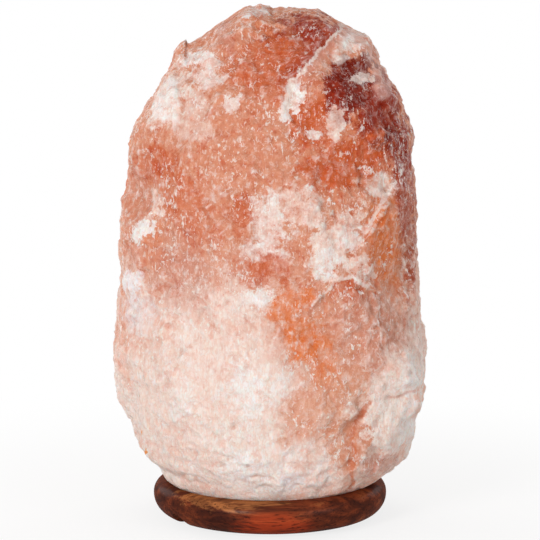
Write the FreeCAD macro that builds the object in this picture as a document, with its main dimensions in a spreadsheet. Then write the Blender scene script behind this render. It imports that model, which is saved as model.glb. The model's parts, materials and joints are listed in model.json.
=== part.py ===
# Salt crystal lamp: a rough block of rock salt on a round turned wooden base.
#
# The block has a blind bore from below.  A push-in light fitting stands in that bore: a candelabra
# lampholder whose three-legged spring clip grips the wall of the hole through the base.  A small
# screw-in bulb sits in the lampholder.  Three screws with wall plugs hold the base to the block.
#
# Millimetres, +Z up.  The origin is on the table, under the middle of the base.  The front is -Y.

import FreeCAD, Part
import Sketcher
import math
import os

Vector = FreeCAD.Vector
Rotation = FreeCAD.Rotation

# ---------------------------------------------------------------------------------------------
# Driving dimensions: name, value, meaning
# ---------------------------------------------------------------------------------------------

DIMENSIONS = [
    # wooden base
    ("base_diameter", 105.0, "widest diameter of the turned base"),
    ("wood_thickness", 15.5, "height of the wood, without its feet"),
    ("rim_round", 6.0, "radius of the rounding over the rim"),
    ("rim_band", 0.5, "height of the rim's upright band, under which the lower rounding starts"),
    ("dish_depth", 2.0, "depth of the dish that the block stands in"),
    ("dish_slope", 1.5, "how far the wall of the dish leans outwards"),
    ("light_hole_diameter", 42.0, "hole through the base for the light fitting"),
    ("groove_width", 10.0, "width of the cord groove under the base"),
    ("groove_depth", 5.5, "height of the cord groove"),
    ("groove_angle", 216.0, "direction of the cord groove, in degrees from +X"),
    # rubber feet
    ("foot_diameter", 8.0, "diameter of a rubber foot"),
    ("foot_height", 1.5, "height of a rubber foot"),
    ("foot_bevel", 0.5, "bevel round the lower edge of a foot"),
    ("foot_inset", 6.0, "distance of a foot from the lower rounding of the rim"),
    ("foot_angle", 45.0, "turn of the first foot from the groove, in degrees"),
    # fixing screws and their plugs
    ("screw_angle", 60.0, "turn of the first screw from the groove, in degrees"),
    ("screw_diameter", 3.8, "diameter of a fixing screw's shank"),
    ("screw_length", 28.0, "length of a fixing screw under its head"),
    ("screw_point", 4.0, "length of its conical point"),
    ("screw_head_diameter", 7.4, "diameter of its pan head"),
    ("screw_head_height", 2.6, "height of its pan head"),
    ("screw_head_bevel", 0.9, "bevel of its pan head"),
    ("cross_length", 4.2, "length of each slot of its cross drive"),
    ("cross_width", 0.9, "width of each slot of its cross drive"),
    ("cross_depth", 1.3, "depth of its cross drive"),
    ("counterbore_depth", 6.5, "depth at which the screw heads seat in the wood"),
    ("screw_play", 0.3, "radial play of the screw holes in the wood"),
    ("plug_diameter", 6.2, "outer diameter of a wall plug"),
    ("plug_end", 1.5, "closed end of a wall plug"),
    ("plug_room", 1.5, "room between a screw's point and the closed end of its plug"),
    ("plug_cover", 4.3, "salt left between the bore and a plug"),
    ("close_fit", 0.05, "radial play of pieces that are pushed together"),
    # block of salt and its bore
    ("block_width", 140.5, "width of the block, from left to right"),
    ("block_depth", 122.0, "depth of the block, from front to back"),
    ("block_height", 214.5, "height of the block above the floor of the dish"),
    ("foot_rough", 1.0, "how far the flats of the block's foot stay inside its round outline"),
    ("bore_play", 1.5, "how much the bore's radius exceeds that of the hole in the base"),
    ("bore_headroom", 18.0, "room over the bulb"),
    ("bore_bevel", 6.0, "bevel round the bore's end"),
    ("salt_gap", 0.5, "least gap between the salt and the rim of the dish"),
    # lampholder
    ("holder_lift", 4.0, "height of the lampholder's underside above the floor of the dish"),
    ("holder_diameter", 24.0, "outer diameter of the lampholder"),
    ("holder_wall", 2.0, "wall of the lampholder's wiring space"),
    ("cap_height", 10.0, "height of the lampholder's lower cap"),
    ("cap_floor", 2.0, "thickness of the cap's floor"),
    ("cap_bevel", 1.2, "bevel round the cap's lower edge"),
    ("seat_height", 7.0, "height of the body's plain part, under its shoulder"),
    ("shoulder_step", 2.5, "how far the shoulder, the clip's ring and its nut stand out"),
    ("wiring_height", 8.0, "height of the wiring space in the upper body"),
    ("web_thickness", 3.0, "floor between the wiring space and the screw shell"),
    ("sleeve_wall", 2.4, "wall of the sleeve round the screw shell"),
    ("nut_height", 4.0, "height of the nut that clamps the spring clip"),
    ("nut_grip_radius", 1.2, "radius of the finger grooves round the nut"),
    ("nut_grip_count", 16.0, "number of finger grooves round the nut"),
    ("cap_screw_inset", 2.4, "distance of the cap screws from the wall of the wiring space"),
    ("cap_screw_diameter", 2.5, "diameter of a cap screw"),
    ("cap_screw_bite", 2.3, "depth of a cap screw in the web"),
    ("cap_screw_head_diameter", 3.8, "diameter of a cap screw's head"),
    ("cap_screw_head_height", 1.4, "height of a cap screw's head"),
    ("cord_hole_diameter", 6.2, "hole in the bush that the cord goes through"),
    ("bush_wall", 1.1, "wall of the cord bush"),
    ("bush_flange", 0.6, "how far the flange of the bush stands out, on the cap's floor"),
    ("bush_flange_height", 1.0, "thickness of that flange"),
    ("bush_drop", 1.2, "how far the bush stands out under the cap"),
    # spring clip
    ("clip_thickness", 0.6, "thickness of the clip's sheet steel"),
    ("leg_width", 7.0, "width of a leg"),
    ("leg_bend", 2.0, "distance of a leg's upper bend from the clip's ring"),
    ("leg_gap", 0.3, "gap between a leg's edges and the wall of the hole"),
    ("leg_grip_inset", 1.0, "depth in the hole at which a leg meets its wall"),
    ("leg_grip_low", 5.0, "height above the wood's underside at which a leg leaves the wall"),
    ("leg_tab_low", 1.5, "height of the finger tab's end above the wood's underside"),
    ("leg_tab_inset", 3.0, "distance of the finger tab's end from the wall of the hole"),
    # contacts
    ("strip_thickness", 0.5, "thickness of the brass strips"),
    ("strip_width", 3.2, "width of the centre contact"),
    ("strip_end_gap", 0.15, "gap between the centre contact's end and the end of its slot"),
    ("tongue_gap", 0.4, "gap between the rivet's head and the place where the tongue rises"),
    ("tongue_run", 1.1, "length over which the tongue rises"),
    ("tongue_rise", 2.0, "how far the tongue of the centre contact stands over the web"),
    ("rivet_circle", 4.1, "distance of the rivets from the axis"),
    ("rivet_diameter", 1.6, "diameter of a rivet's shank"),
    ("rivet_head_diameter", 2.6, "diameter of a rivet's heads"),
    ("rivet_head_height", 0.5, "height of a rivet's heads"),
    ("terminal_angle", 47.0, "turn of a terminal screw from its rivet about the axis, in degrees"),
    ("terminal_gap", 0.95, "gap between a terminal screw's head and the wall of the wiring space"),
    ("terminal_margin", 2.0, "strip left beyond the screw and the rivet of a terminal"),
    ("terminal_screw_diameter", 3.0, "diameter of a terminal screw"),
    ("terminal_screw_bite", 1.8, "depth of a terminal screw in the web"),
    ("terminal_head_diameter", 4.4, "diameter of a terminal screw's head"),
    ("terminal_head_height", 1.8, "height of a terminal screw's head"),
    ("slot_width", 0.7, "width of the slot in a cap or terminal screw"),
    ("slot_depth", 0.7, "depth of that slot"),
    # screw thread of bulb and shell
    ("thread_pitch", 2.54, "pitch of the candelabra thread"),
    ("thread_turns", 3.5, "turns of thread in mesh"),
    ("thread_start", 1.2, "height of the thread's start above the bulb cap's lower edge"),
    ("cap_radius", 5.35, "radius at the root of the bulb cap's thread"),
    ("cap_thread_height", 0.6, "height of the rolled thread on the bulb's cap"),
    ("thread_gap", 0.2, "radial gap between the crest of one thread and the root of the other"),
    ("shell_thread_height", 0.5, "height of the rolled thread in the screw shell"),
    ("shell_wall", 0.4, "wall of the screw shell"),
    ("shell_rim", 0.4, "plain rim of the screw shell above its thread"),
    ("shell_inset", 0.4, "how far the screw shell ends below the sleeve's mouth"),
    ("shell_mouth", 2.4, "radius of the hole in the screw shell's floor"),
    ("shell_slot_gap", 0.6, "gap between the centre contact and the slot for it in that floor"),
    # bulb
    ("contact_gap", 0.15, "gap between the bulb's tip and the centre contact"),
    ("tip_radius", 1.9, "radius of the solder tip"),
    ("tip_height", 0.7, "height of the solder tip"),
    ("insulator_height", 2.0, "height of the black glass under the cap"),
    ("insulator_radius", 2.6, "radius of the black glass at the tip"),
    ("cap_rim", 2.3, "plain rim of the bulb's metal cap above its thread"),
    ("cap_wall", 0.4, "wall of the bulb's cap"),
    ("neck_depth", 5.0, "how deep the glass neck stands in the cap"),
    ("bulb_diameter", 22.0, "diameter of the glass envelope"),
    ("bulb_flare", 12.0, "height over which the neck widens"),
    ("bulb_height", 42.0, "height of the glass above the cap"),
    ("glass_wall", 0.6, "wall of the glass envelope"),
    ("stem_foot", 1.2, "height of the stem's rim, where it is sealed into the neck"),
    ("stem_taper", 6.0, "height over which the stem narrows"),
    ("stem_radius", 1.8, "radius of the glass stem"),
    ("stem_height", 11.0, "height of the stem above the cap"),
    ("lead_foot", 1.0, "distance of a lead wire from the axis, on the stem"),
    ("lead_spread", 5.5, "distance of the filament's ends from the axis"),
    ("lead_rise", 12.0, "height of the filament above the stem"),
    ("lead_diameter", 0.6, "diameter of the lead wires"),
    ("filament_diameter", 0.9, "outer diameter of the coiled filament"),
    ("filament_bow", 3.0, "how far the filament bows out from the line between its ends"),
    ("support_diameter", 0.4, "diameter of the filament's support wire"),
]

# The rough shape of the block in level cross-sections above its foot.  Each row gives the height as a
# share of the block's height, then how far the section reaches to the left (-X) and right (+X) of the
# axis as shares of the block's width, and to the front (-Y) and back (+Y) as shares of its depth.
SALT_SECTIONS = [
    (0.065, 0.420, 0.448, 0.426, 0.418),
    (0.107, 0.441, 0.456, 0.451, 0.443),
    (0.152, 0.456, 0.474, 0.471, 0.459),
    (0.196, 0.466, 0.495, 0.485, 0.475),
    (0.280, 0.502, 0.498, 0.493, 0.476),
    (0.364, 0.493, 0.464, 0.490, 0.486),
    (0.448, 0.482, 0.462, 0.475, 0.488),
    (0.531, 0.480, 0.465, 0.470, 0.484),
    (0.615, 0.452, 0.460, 0.463, 0.467),
    (0.699, 0.452, 0.450, 0.443, 0.451),
    (0.769, 0.427, 0.423, 0.410, 0.418),
    (0.821, 0.370, 0.399, 0.385, 0.385),
    (0.862, 0.324, 0.359, 0.352, 0.352),
    (0.909, 0.302, 0.331, 0.311, 0.303),
    (0.946, 0.221, 0.292, 0.254, 0.238),
    (0.974, 0.135, 0.206, 0.189, 0.172),
    (1.000, 0.064, 0.085, 0.090, 0.090),
]
SALT_CORNERS = 20  # corners of each cross-section
SALT_SQUARENESS = 0.06  # share by which the corners off the axes stand out from an ellipse
SALT_UNEVENNESS = 0.034  # share by which those corners vary from one section to the next
SALT_SWAY = 0.3  # how far a corner strays sideways, as a share of the angle between two corners

# How far the waves of the sway and of the unevenness move on, in radians, from one corner to the next
# and from one section to the next
SWAY_WAVE = (3.7, 2.3)
UNEVEN_WAVE = (2.9, 1.3)

# The swellings and hollows of the block's sides.  Each row gives the middle, as a turn in degrees
# from the front to the right and as a share of the block's height, then how far it spreads in both,
# then how far it rises as a share of the distance from the axis, below 0 for a hollow.
SALT_FORMS = [
    (50, 0.86, 26, 0.10, 0.09),
    (50, 0.89, 12, 0.03, -0.06),
    (2, 0.91, 18, 0.05, -0.09),
    (-20, 0.97, 20, 0.03, 0.10),
    (33, 0.70, 18, 0.05, -0.06),
    (58, 0.53, 13, 0.11, -0.06),
    (29, 0.56, 13, 0.05, 0.05),
    (-50, 0.79, 16, 0.09, 0.05),
    (-42, 0.49, 10, 0.18, -0.045),
    (-12, 0.62, 14, 0.08, 0.04),
    (60, 0.26, 14, 0.06, 0.05),
    (55, 0.13, 13, 0.05, 0.05),
    (38, 0.15, 8, 0.09, -0.05),
    (-8, 0.23, 15, 0.05, 0.045),
    (-5, 0.12, 14, 0.04, 0.03),
    (14, 0.30, 9, 0.10, -0.045),
    (-30, 0.32, 12, 0.06, 0.03),
    (-66, 0.22, 15, 0.07, 0.03),
    (-62, 0.08, 14, 0.04, -0.05),
    (110, 0.40, 18, 0.12, 0.04),
    (120, 0.68, 16, 0.08, -0.07),
    (135, 0.15, 18, 0.06, -0.06),
    (155, 0.80, 22, 0.09, -0.07),
    (170, 0.30, 22, 0.12, 0.05),
    (185, 0.56, 18, 0.08, -0.06),
    (200, 0.88, 22, 0.07, 0.08),
    (220, 0.44, 18, 0.13, -0.06),
    (240, 0.20, 18, 0.08, 0.04),
    (252, 0.66, 16, 0.10, -0.06),
]

FOOT_COUNT = 4
SCREW_COUNT = 3
LEG_COUNT = 3
THREAD_SINK = 0.1  # how far a thread's outline reaches into its wall, as a share of its rise
ZERO = 1e-9  # a length or a cosine below this is 0
LEAST_CUT = 1e-4  # least volume that a cut has to take away, in cubic millimetres
TERMINALS = {"line": 0, "neutral": 180}  # turn of each terminal about the axis, in degrees

SHEET = "sizes"


class Size:
    """A length that is known both as a number and as the expression that drives it."""

    def __init__(self, text, value):
        self.text = text
        self.value = value

    def join(self, sign, other, value):
        return Size("(%s %s %s)" % (self.text, sign, size(other).text), value)

    def __add__(self, other):
        return self.join("+", other, self.value + size(other).value)

    def __sub__(self, other):
        return self.join("-", other, self.value - size(other).value)

    def __mul__(self, other):
        return self.join("*", other, self.value * size(other).value)

    def __truediv__(self, other):
        return self.join("/", other, self.value / size(other).value)

    def __neg__(self):
        return Size("(-1 * %s)" % self.text, -self.value)

    def root(self):
        return Size("sqrt(%s)" % self.text, math.sqrt(self.value))

    def cosine(self):
        return Size("cos(%s * 1 deg)" % self.text, math.cos(math.radians(self.value)))

    def sine(self):
        return Size("sin(%s * 1 deg)" % self.text, math.sin(math.radians(self.value)))


def size(value):
    """The value as a Size, with a plain number standing for itself."""
    if isinstance(value, Size):
        return value
    return Size("%.10g" % value, float(value))


def make_sheet():
    """Writes the driving dimensions to a spreadsheet and gives back a table from name to Size."""
    sheet = doc.addObject("Spreadsheet::Sheet", SHEET)
    table = {}
    for row, (name, value, meaning) in enumerate(DIMENSIONS, 1):
        sheet.set("A%d" % row, name.replace("_", " "))
        sheet.set("B%d" % row, "%.10g" % value)
        sheet.setAlias("B%d" % row, name)
        sheet.set("C%d" % row, meaning)
        table[name] = Size("%s.%s" % (SHEET, name), value)
    doc.recompute()
    return table


doc = FreeCAD.newDocument("salt_lamp")
D = make_sheet()
pieces = []

# ---------------------------------------------------------------------------------------------
# Heights and radii that several pieces share
# ---------------------------------------------------------------------------------------------

wood_bottom = D["foot_height"]
wood_top = wood_bottom + D["wood_thickness"]
dish_floor = wood_top - D["dish_depth"]
base_radius = D["base_diameter"] / 2
rim_low_round = D["wood_thickness"] - D["rim_round"] - D["rim_band"]
underside_radius = base_radius - rim_low_round
crest_radius = base_radius - D["rim_round"]
dish_radius = crest_radius - D["dish_slope"]
hole_radius = D["light_hole_diameter"] / 2
bore_radius = hole_radius + D["bore_play"]

foot_radius = D["foot_diameter"] / 2
foot_circle = underside_radius - D["foot_inset"] - foot_radius
plug_hole_radius = D["plug_diameter"] / 2 + D["close_fit"]
screw_circle = bore_radius + D["plug_cover"] + plug_hole_radius
screw_radius = D["screw_diameter"] / 2
screw_seat = wood_bottom + D["counterbore_depth"]
screw_tip = screw_seat + D["screw_length"]
plug_top = screw_tip + D["plug_room"] + D["plug_end"]

holder_radius = D["holder_diameter"] / 2
wiring_radius = holder_radius - D["holder_wall"]
shoulder_radius = holder_radius + D["shoulder_step"]
holder_low = dish_floor + D["holder_lift"]
cap_top = holder_low + D["cap_height"]
shoulder_low = cap_top + D["seat_height"]
web_low = cap_top + D["wiring_height"]
web_top = web_low + D["web_thickness"]
clip_low = shoulder_low - D["clip_thickness"]
bush_radius = D["cord_hole_diameter"] / 2 + D["bush_wall"]

tongue_top = web_top + D["tongue_rise"] + D["strip_thickness"]
strip_low = web_low - D["strip_thickness"]
tongue_foot = D["rivet_circle"] - D["rivet_head_diameter"] / 2 - D["tongue_gap"]
tongue_crown = tongue_foot - D["tongue_run"]
terminal_circle = wiring_radius - D["terminal_head_diameter"] / 2 - D["terminal_gap"]
cap_screw_circle = wiring_radius - D["cap_screw_inset"]

tip_low = tongue_top + D["contact_gap"]
insulator_low = tip_low + D["tip_height"]
bulb_cap_low = insulator_low + D["insulator_height"]
thread_low = bulb_cap_low + D["thread_start"]
thread_rise = D["thread_pitch"] * D["thread_turns"]
bulb_cap_top = thread_low + thread_rise + D["cap_rim"]
bulb_top = bulb_cap_top + D["bulb_height"]
bore_top = bulb_top + D["bore_headroom"]
shell_radius = D["cap_radius"] + D["cap_thread_height"] + D["thread_gap"]
shell_outer = shell_radius + D["shell_wall"]
shell_thread_low = thread_low + D["thread_pitch"] / 2
shell_top = shell_thread_low + thread_rise + D["shell_thread_height"] + D["shell_rim"]
holder_top = shell_top + D["shell_inset"]
contact_slot = D["strip_width"] / 2 + D["shell_slot_gap"]
contact_slot_end = (shell_radius * shell_radius - contact_slot * contact_slot).root()
neck_radius = D["cap_radius"] - D["cap_wall"] - D["close_fit"]
neck_low = bulb_cap_top - D["neck_depth"]
stem_top = bulb_cap_top + D["stem_height"]
filament_height = stem_top + D["lead_rise"]

# ---------------------------------------------------------------------------------------------
# Helpers
# ---------------------------------------------------------------------------------------------


def new_body(name):
    """An empty body that becomes the piece of that name."""
    body = doc.addObject("PartDesign::Body", name)
    body.Label = name
    pieces.append(body)
    return body


def origin_feature(body, role):
    """The body's own origin plane or axis with that role."""
    return next(feature for feature in body.Origin.OriginFeatures if feature.Role == role)


def new_sketch(body, name, role="XZ_Plane", height=None, turn=None):
    """A sketch on an origin plane: a level one raised to a height, or an upright one turned by an
    angle about the lamp's axis."""
    sketch = body.newObject("Sketcher::SketchObject", name)
    sketch.AttachmentSupport = [(origin_feature(body, role), "")]
    sketch.MapMode = "FlatFace"
    if height is not None:
        sketch.setExpression("AttachmentOffset.Base.z", height.text)
    if turn is not None:
        sketch.AttachmentOffset = FreeCAD.Placement(Vector(), Rotation(Vector(0, 1, 0), 1))
        sketch.setExpression("AttachmentOffset.Rotation.Angle", turn.text)
    return sketch


def pin_axis(sketch, geometry, end, amount, axis):
    """Holds one coordinate of a point: axis 0 is across the sketch, axis 1 is up."""
    if abs(amount.value) < ZERO:
        sketch.addConstraint(Sketcher.Constraint("PointOnObject", geometry, end, (-2, -1)[axis]))
        return
    kind = ("DistanceX", "DistanceY")[axis]
    ends = (-1, 1, geometry, end) if amount.value > 0 else (geometry, end, -1, 1)
    number = sketch.addConstraint(Sketcher.Constraint(kind, *ends, abs(amount.value)))
    reach = amount if amount.value > 0 else -amount
    sketch.setExpression("Constraints[%d]" % number, reach.text)


def pin(sketch, geometry, end, point):
    """Holds a point of the sketch at a place given by two Sizes."""
    pin_axis(sketch, geometry, end, size(point[0]), 0)
    pin_axis(sketch, geometry, end, size(point[1]), 1)


def flat(point):
    """The place of a pair of Sizes, as a vector in the sketch."""
    return Vector(size(point[0]).value, size(point[1]).value, 0)


def outline(sketch, stops):
    """A closed outline. Each stop is a corner (x, y), or (x, y, mid_x, mid_y) where an arc through
    the middle point leads on from it to the next corner."""
    first, last = [], []
    for number, stop in enumerate(stops):
        start, end = flat(stop), flat(stops[(number + 1) % len(stops)])
        if len(stop) == 2:
            line = sketch.addGeometry(Part.LineSegment(start, end))
            first.append((line, 1))
            last.append((line, 2))
            continue
        middle = flat(stop[2:])
        leftward = (middle - start).cross(end - middle).z > 0
        ends = (start, end) if leftward else (end, start)
        arc = sketch.addGeometry(Part.Arc(ends[0], middle, ends[1]))
        first.append((arc, 1 if leftward else 2))
        last.append((arc, 2 if leftward else 1))
        mark = sketch.addGeometry(Part.Point(middle), True)
        sketch.addConstraint(Sketcher.Constraint("PointOnObject", mark, 1, arc))
        pin(sketch, mark, 1, stop[2:])
    for number, stop in enumerate(stops):
        geometry, end = first[number]
        sketch.addConstraint(Sketcher.Constraint("Coincident", *last[number - 1], geometry, end))
        pin(sketch, geometry, end, stop[:2])


def rectangle(sketch, low, high):
    """A closed rectangle between two opposite corners."""
    outline(sketch, [low, (high[0], low[1]), high, (low[0], high[1])])


def circle(sketch, radius, centre=(0, 0)):
    """A circle of a driven radius round a driven centre."""
    ring = sketch.addGeometry(Part.Circle(flat(centre), Vector(0, 0, 1), radius.value))
    pin(sketch, ring, 3, centre)
    number = sketch.addConstraint(Sketcher.Constraint("Radius", ring, radius.value))
    sketch.setExpression("Constraints[%d]" % number, radius.text)


def upright_axis(sketch, distance):
    """A construction line parallel to Z at a distance from it, as an axis to turn about."""
    line = sketch.addGeometry(Part.LineSegment(flat((distance, 0)), flat((distance, 1))), True)
    pin(sketch, line, 1, (distance, 0))
    pin(sketch, line, 2, (distance, 1))
    return (sketch, ["Axis0"])


def finish_feature(body, feature):
    """Makes the feature the body's last one, and works the model out up to it. A cut that takes
    nothing away stops the build."""
    base = getattr(feature, "BaseFeature", None)
    volume = base.Shape.Volume if base else 0.0
    body.Tip = feature
    doc.recompute()
    cuts = feature.TypeId in ("PartDesign::Groove", "PartDesign::Pocket")
    if cuts and feature.Shape.Volume > volume - LEAST_CUT:
        raise ValueError("%s of %s cuts nothing" % (feature.Label, body.Label))
    return feature


def revolve(body, name, stops, kind="PartDesign::Revolution", distance=None, turn=None):
    """Turns an outline in an upright plane about Z, or about an upright at a distance from it."""
    sketch = new_sketch(body, name + "_outline", turn=turn)
    axis = (sketch, ["V_Axis"]) if distance is None else upright_axis(sketch, distance)
    outline(sketch, stops)
    feature = body.newObject(kind, name)
    feature.Profile = sketch
    feature.ReferenceAxis = axis
    feature.Angle = 360.0
    return finish_feature(body, feature)


def turned(name, stops):
    """A piece that is one turned shape about its own upright axis."""
    body = new_body(name)
    revolve(body, "turned_shape", stops)
    return body


def extrude(body, name, sketch, length, kind="PartDesign::Pad", both_ways=False, backwards=False):
    """A pad or pocket of a driven length."""
    feature = body.newObject(kind, name)
    feature.Profile = sketch
    feature.setExpression("Length", length.text)
    if both_ways:
        feature.SideType = "Symmetric"
    feature.Reversed = backwards
    return finish_feature(body, feature)


def drill_up(body, name, low, depth, radius, centres):
    """Round holes that go up from a level face."""
    sketch = new_sketch(body, name + "_rings", "XY_Plane", low)
    for centre in centres:
        circle(sketch, radius, centre)
    return extrude(body, name, sketch, depth, "PartDesign::Pocket", backwards=True)


def polar(body, name, original, count):
    """Repeats a feature evenly round the lamp's axis."""
    pattern = body.newObject("PartDesign::PolarPattern", name)
    pattern.Originals = [original]
    pattern.Axis = (origin_feature(body, "Z_Axis"), [""])
    pattern.Angle = 360.0
    pattern.setExpression("Occurrences", size(count).text)
    return finish_feature(body, pattern)


def rolled_thread(body, radius, rise, middle):
    """A rolled thread: a round ridge that winds up a wall. It stands out from the wall by a positive
    rise, or into the bore by a negative one, and starts at the height of its middle."""
    half = rise if rise.value > 0 else -rise
    root = radius - rise * THREAD_SINK
    sketch = new_sketch(body, "thread_ridge")
    outline(sketch, [(root, middle - half), (root, middle + half, radius + rise, middle)])
    feature = body.newObject("PartDesign::AdditiveHelix", "thread")
    feature.Profile = sketch
    feature.ReferenceAxis = (sketch, ["V_Axis"])
    feature.Mode = 0
    feature.setExpression("Pitch", D["thread_pitch"].text)
    feature.setExpression("Height", thread_rise.text)
    feature.Angle = 0.0
    return finish_feature(body, feature)


def stand_at(body, place):
    """Moves a whole piece sideways to its place, a pair of Sizes."""
    body.setExpression("Placement.Base.x", size(place[0]).text)
    body.setExpression("Placement.Base.y", size(place[1]).text)


def turn_to(body, angle):
    """Turns a whole piece about its own upright axis."""
    body.Placement = FreeCAD.Placement(Vector(), Rotation(Vector(0, 0, 1), 1))
    body.setExpression("Placement.Rotation.Angle", angle.text)


def on_circle(radius, angle):
    """The place at an angle on a circle round the lamp's axis."""
    return (radius * angle.cosine(), radius * angle.sine())


def slot(body, name, length, width, low, depth):
    """A slot cut up into the middle of a screw's head."""
    sketch = new_sketch(body, name + "_outline", "XY_Plane", low)
    rectangle(sketch, (-(length / 2), -(width / 2)), (length / 2, width / 2))
    return extrude(body, name, sketch, depth, "PartDesign::Pocket", backwards=True)


# ---------------------------------------------------------------------------------------------
# Salt and wood
# ---------------------------------------------------------------------------------------------


def salt_rise(turn, up):
    """How far the block's forms stand out at a turn from the front and a share of its height."""
    rise = 0.0
    for middle, height, spread, rows, reach in SALT_FORMS:
        across = math.remainder(turn - middle, 360.0) / spread
        along = (up - height) / rows
        rise += reach * math.exp(-across ** 2 - along ** 2)
    return rise


def salt_corners(reaches, number=0, up=0.0):
    """The corners of a cross-section that reaches that far to the left, right, front and back, as
    pairs of Sizes.  The foot, number 0, is even.  Above it the corners off the X axis stray."""
    left, right, front, back = reaches
    spacing = 360.0 / SALT_CORNERS
    corners = []
    for corner in range(SALT_CORNERS):
        turn = spacing * corner
        bulge = 1.0
        strays = abs(math.cos(math.radians(turn))) > ZERO
        if number and strays:
            turn += SALT_SWAY * spacing * math.sin(SWAY_WAVE[0] * corner + SWAY_WAVE[1] * number)
            bulge += SALT_UNEVENNESS * math.sin(UNEVEN_WAVE[0] * corner + UNEVEN_WAVE[1] * number)
        if number:
            bulge += salt_rise(turn, up)
        angle = math.radians(turn - 90.0)
        bulge += SALT_SQUARENESS * abs(math.sin(2 * angle))
        across = round(math.cos(angle), 6) * bulge
        along = round(math.sin(angle), 6) * bulge
        corners.append(((right if across > 0 else left) * across,
                        (back if along > 0 else front) * along))
    return corners


def salt_crystal():
    """A rough-hewn block, trimmed round its foot to stand in the dish, with its bore and plug holes."""
    body = new_body("salt_crystal")
    foot = dish_radius - D["salt_gap"]
    flats = foot - D["foot_rough"]
    sections = [new_sketch(body, "foot_section", "XY_Plane", dish_floor)]
    outline(sections[0], salt_corners([flats] * 4))
    for number, (up, left, right, front, back) in enumerate(SALT_SECTIONS, 1):
        height = dish_floor + D["block_height"] * up
        sketch = new_sketch(body, "section_%d" % number, "XY_Plane", height)
        reaches = [D["block_width"] * left, D["block_width"] * right,
                   D["block_depth"] * front, D["block_depth"] * back]
        outline(sketch, salt_corners(reaches, number, up))
        sections.append(sketch)
    doc.recompute()
    block = body.newObject("PartDesign::AdditiveLoft", "block")
    block.Profile = sections[0]
    block.Sections = sections[1:]
    block.Ruled = True
    finish_feature(body, block)

    overhang = wood_top + D["salt_gap"]
    beyond = base_radius * 2
    trim = [(foot, 0), (beyond, 0), (beyond, overhang), (crest_radius, overhang),
            (foot, dish_floor + D["salt_gap"])]
    revolve(body, "foot_trim", trim, "PartDesign::Groove")

    bore = [(0, 0), (bore_radius, 0), (bore_radius, bore_top - D["bore_bevel"]),
            (bore_radius - D["bore_bevel"], bore_top), (0, bore_top)]
    revolve(body, "light_bore", bore, "PartDesign::Groove")

    edge = screw_circle + plug_hole_radius
    ceiling = plug_top + D["close_fit"]
    hole = [(screw_circle, 0), (edge, 0), (edge, ceiling), (screw_circle, ceiling)]
    first_hole = revolve(body, "plug_hole", hole, "PartDesign::Groove", screw_circle,
                         D["groove_angle"] + D["screw_angle"])
    polar(body, "plug_holes", first_hole, SCREW_COUNT)


def wooden_base():
    """A turned disc with a rounded rim, a dish on top, and its light hole, screw holes and groove."""
    body = new_body("wooden_base")
    corner = math.sqrt(0.5)  # how far along each side the middle of a quarter round lies
    low_centre = wood_bottom + rim_low_round
    top_centre = wood_top - D["rim_round"]
    revolve(body, "disc", [
        (hole_radius, wood_bottom),
        (underside_radius, wood_bottom,
         underside_radius + rim_low_round * corner, low_centre - rim_low_round * corner),
        (base_radius, low_centre),
        (base_radius, top_centre,
         crest_radius + D["rim_round"] * corner, top_centre + D["rim_round"] * corner),
        (crest_radius, wood_top),
        (dish_radius, dish_floor),
        (hole_radius, dish_floor),
    ])

    clear = screw_circle + screw_radius + D["screw_play"]
    counterbore = screw_circle + D["screw_head_diameter"] / 2 + D["screw_play"]
    hole = [(screw_circle, 0), (counterbore, 0), (counterbore, screw_seat), (clear, screw_seat),
            (clear, wood_top), (screw_circle, wood_top)]
    first_hole = revolve(body, "screw_hole", hole, "PartDesign::Groove", screw_circle,
                         D["groove_angle"] + D["screw_angle"])
    polar(body, "screw_holes", first_hole, SCREW_COUNT)

    half = D["groove_width"] / 2
    top = wood_bottom + D["groove_depth"]
    sketch = new_sketch(body, "groove_section", "YZ_Plane", turn=D["groove_angle"])
    outline(sketch, [(-half, -half), (half, -half), (half, top - half, 0, top), (-half, top - half)])
    extrude(body, "cord_groove", sketch, base_radius * 2, "PartDesign::Pocket", backwards=True)


def rubber_feet():
    """Bumpers stuck to the underside of the base."""
    bevel = D["foot_bevel"]
    for number in range(FOOT_COUNT):
        body = turned("rubber_foot_%d" % (number + 1), [
            (0, 0), (foot_radius - bevel, 0), (foot_radius, bevel), (foot_radius, wood_bottom),
            (0, wood_bottom)])
        angle = D["groove_angle"] + D["foot_angle"] + 360 * number / FOOT_COUNT
        stand_at(body, on_circle(foot_circle, angle))


def fixing_screws():
    """Pan-head screws up through the wood, each in a wall plug in the salt."""
    head = D["screw_head_diameter"] / 2
    bevel = D["screw_head_bevel"]
    low = screw_seat - D["screw_head_height"]
    bore = screw_radius + D["close_fit"]
    plug = D["plug_diameter"] / 2
    for number in range(SCREW_COUNT):
        angle = D["groove_angle"] + D["screw_angle"] + 360 * number / SCREW_COUNT
        place = on_circle(screw_circle, angle)
        screw = turned("fixing_screw_%d" % (number + 1), [
            (0, low), (head - bevel, low), (head, low + bevel), (head, screw_seat),
            (screw_radius, screw_seat), (screw_radius, screw_tip - D["screw_point"]),
            (0, screw_tip)])
        slot(screw, "slot_across", D["cross_length"], D["cross_width"], low, D["cross_depth"])
        slot(screw, "slot_along", D["cross_width"], D["cross_length"], low, D["cross_depth"])
        stand_at(screw, place)
        sleeve = turned("screw_plug_%d" % (number + 1), [
            (bore, dish_floor), (plug, dish_floor), (plug, plug_top), (0, plug_top),
            (0, plug_top - D["plug_end"]), (bore, plug_top - D["plug_end"])])
        stand_at(sleeve, place)


# ---------------------------------------------------------------------------------------------
# Light fitting
# ---------------------------------------------------------------------------------------------

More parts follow.
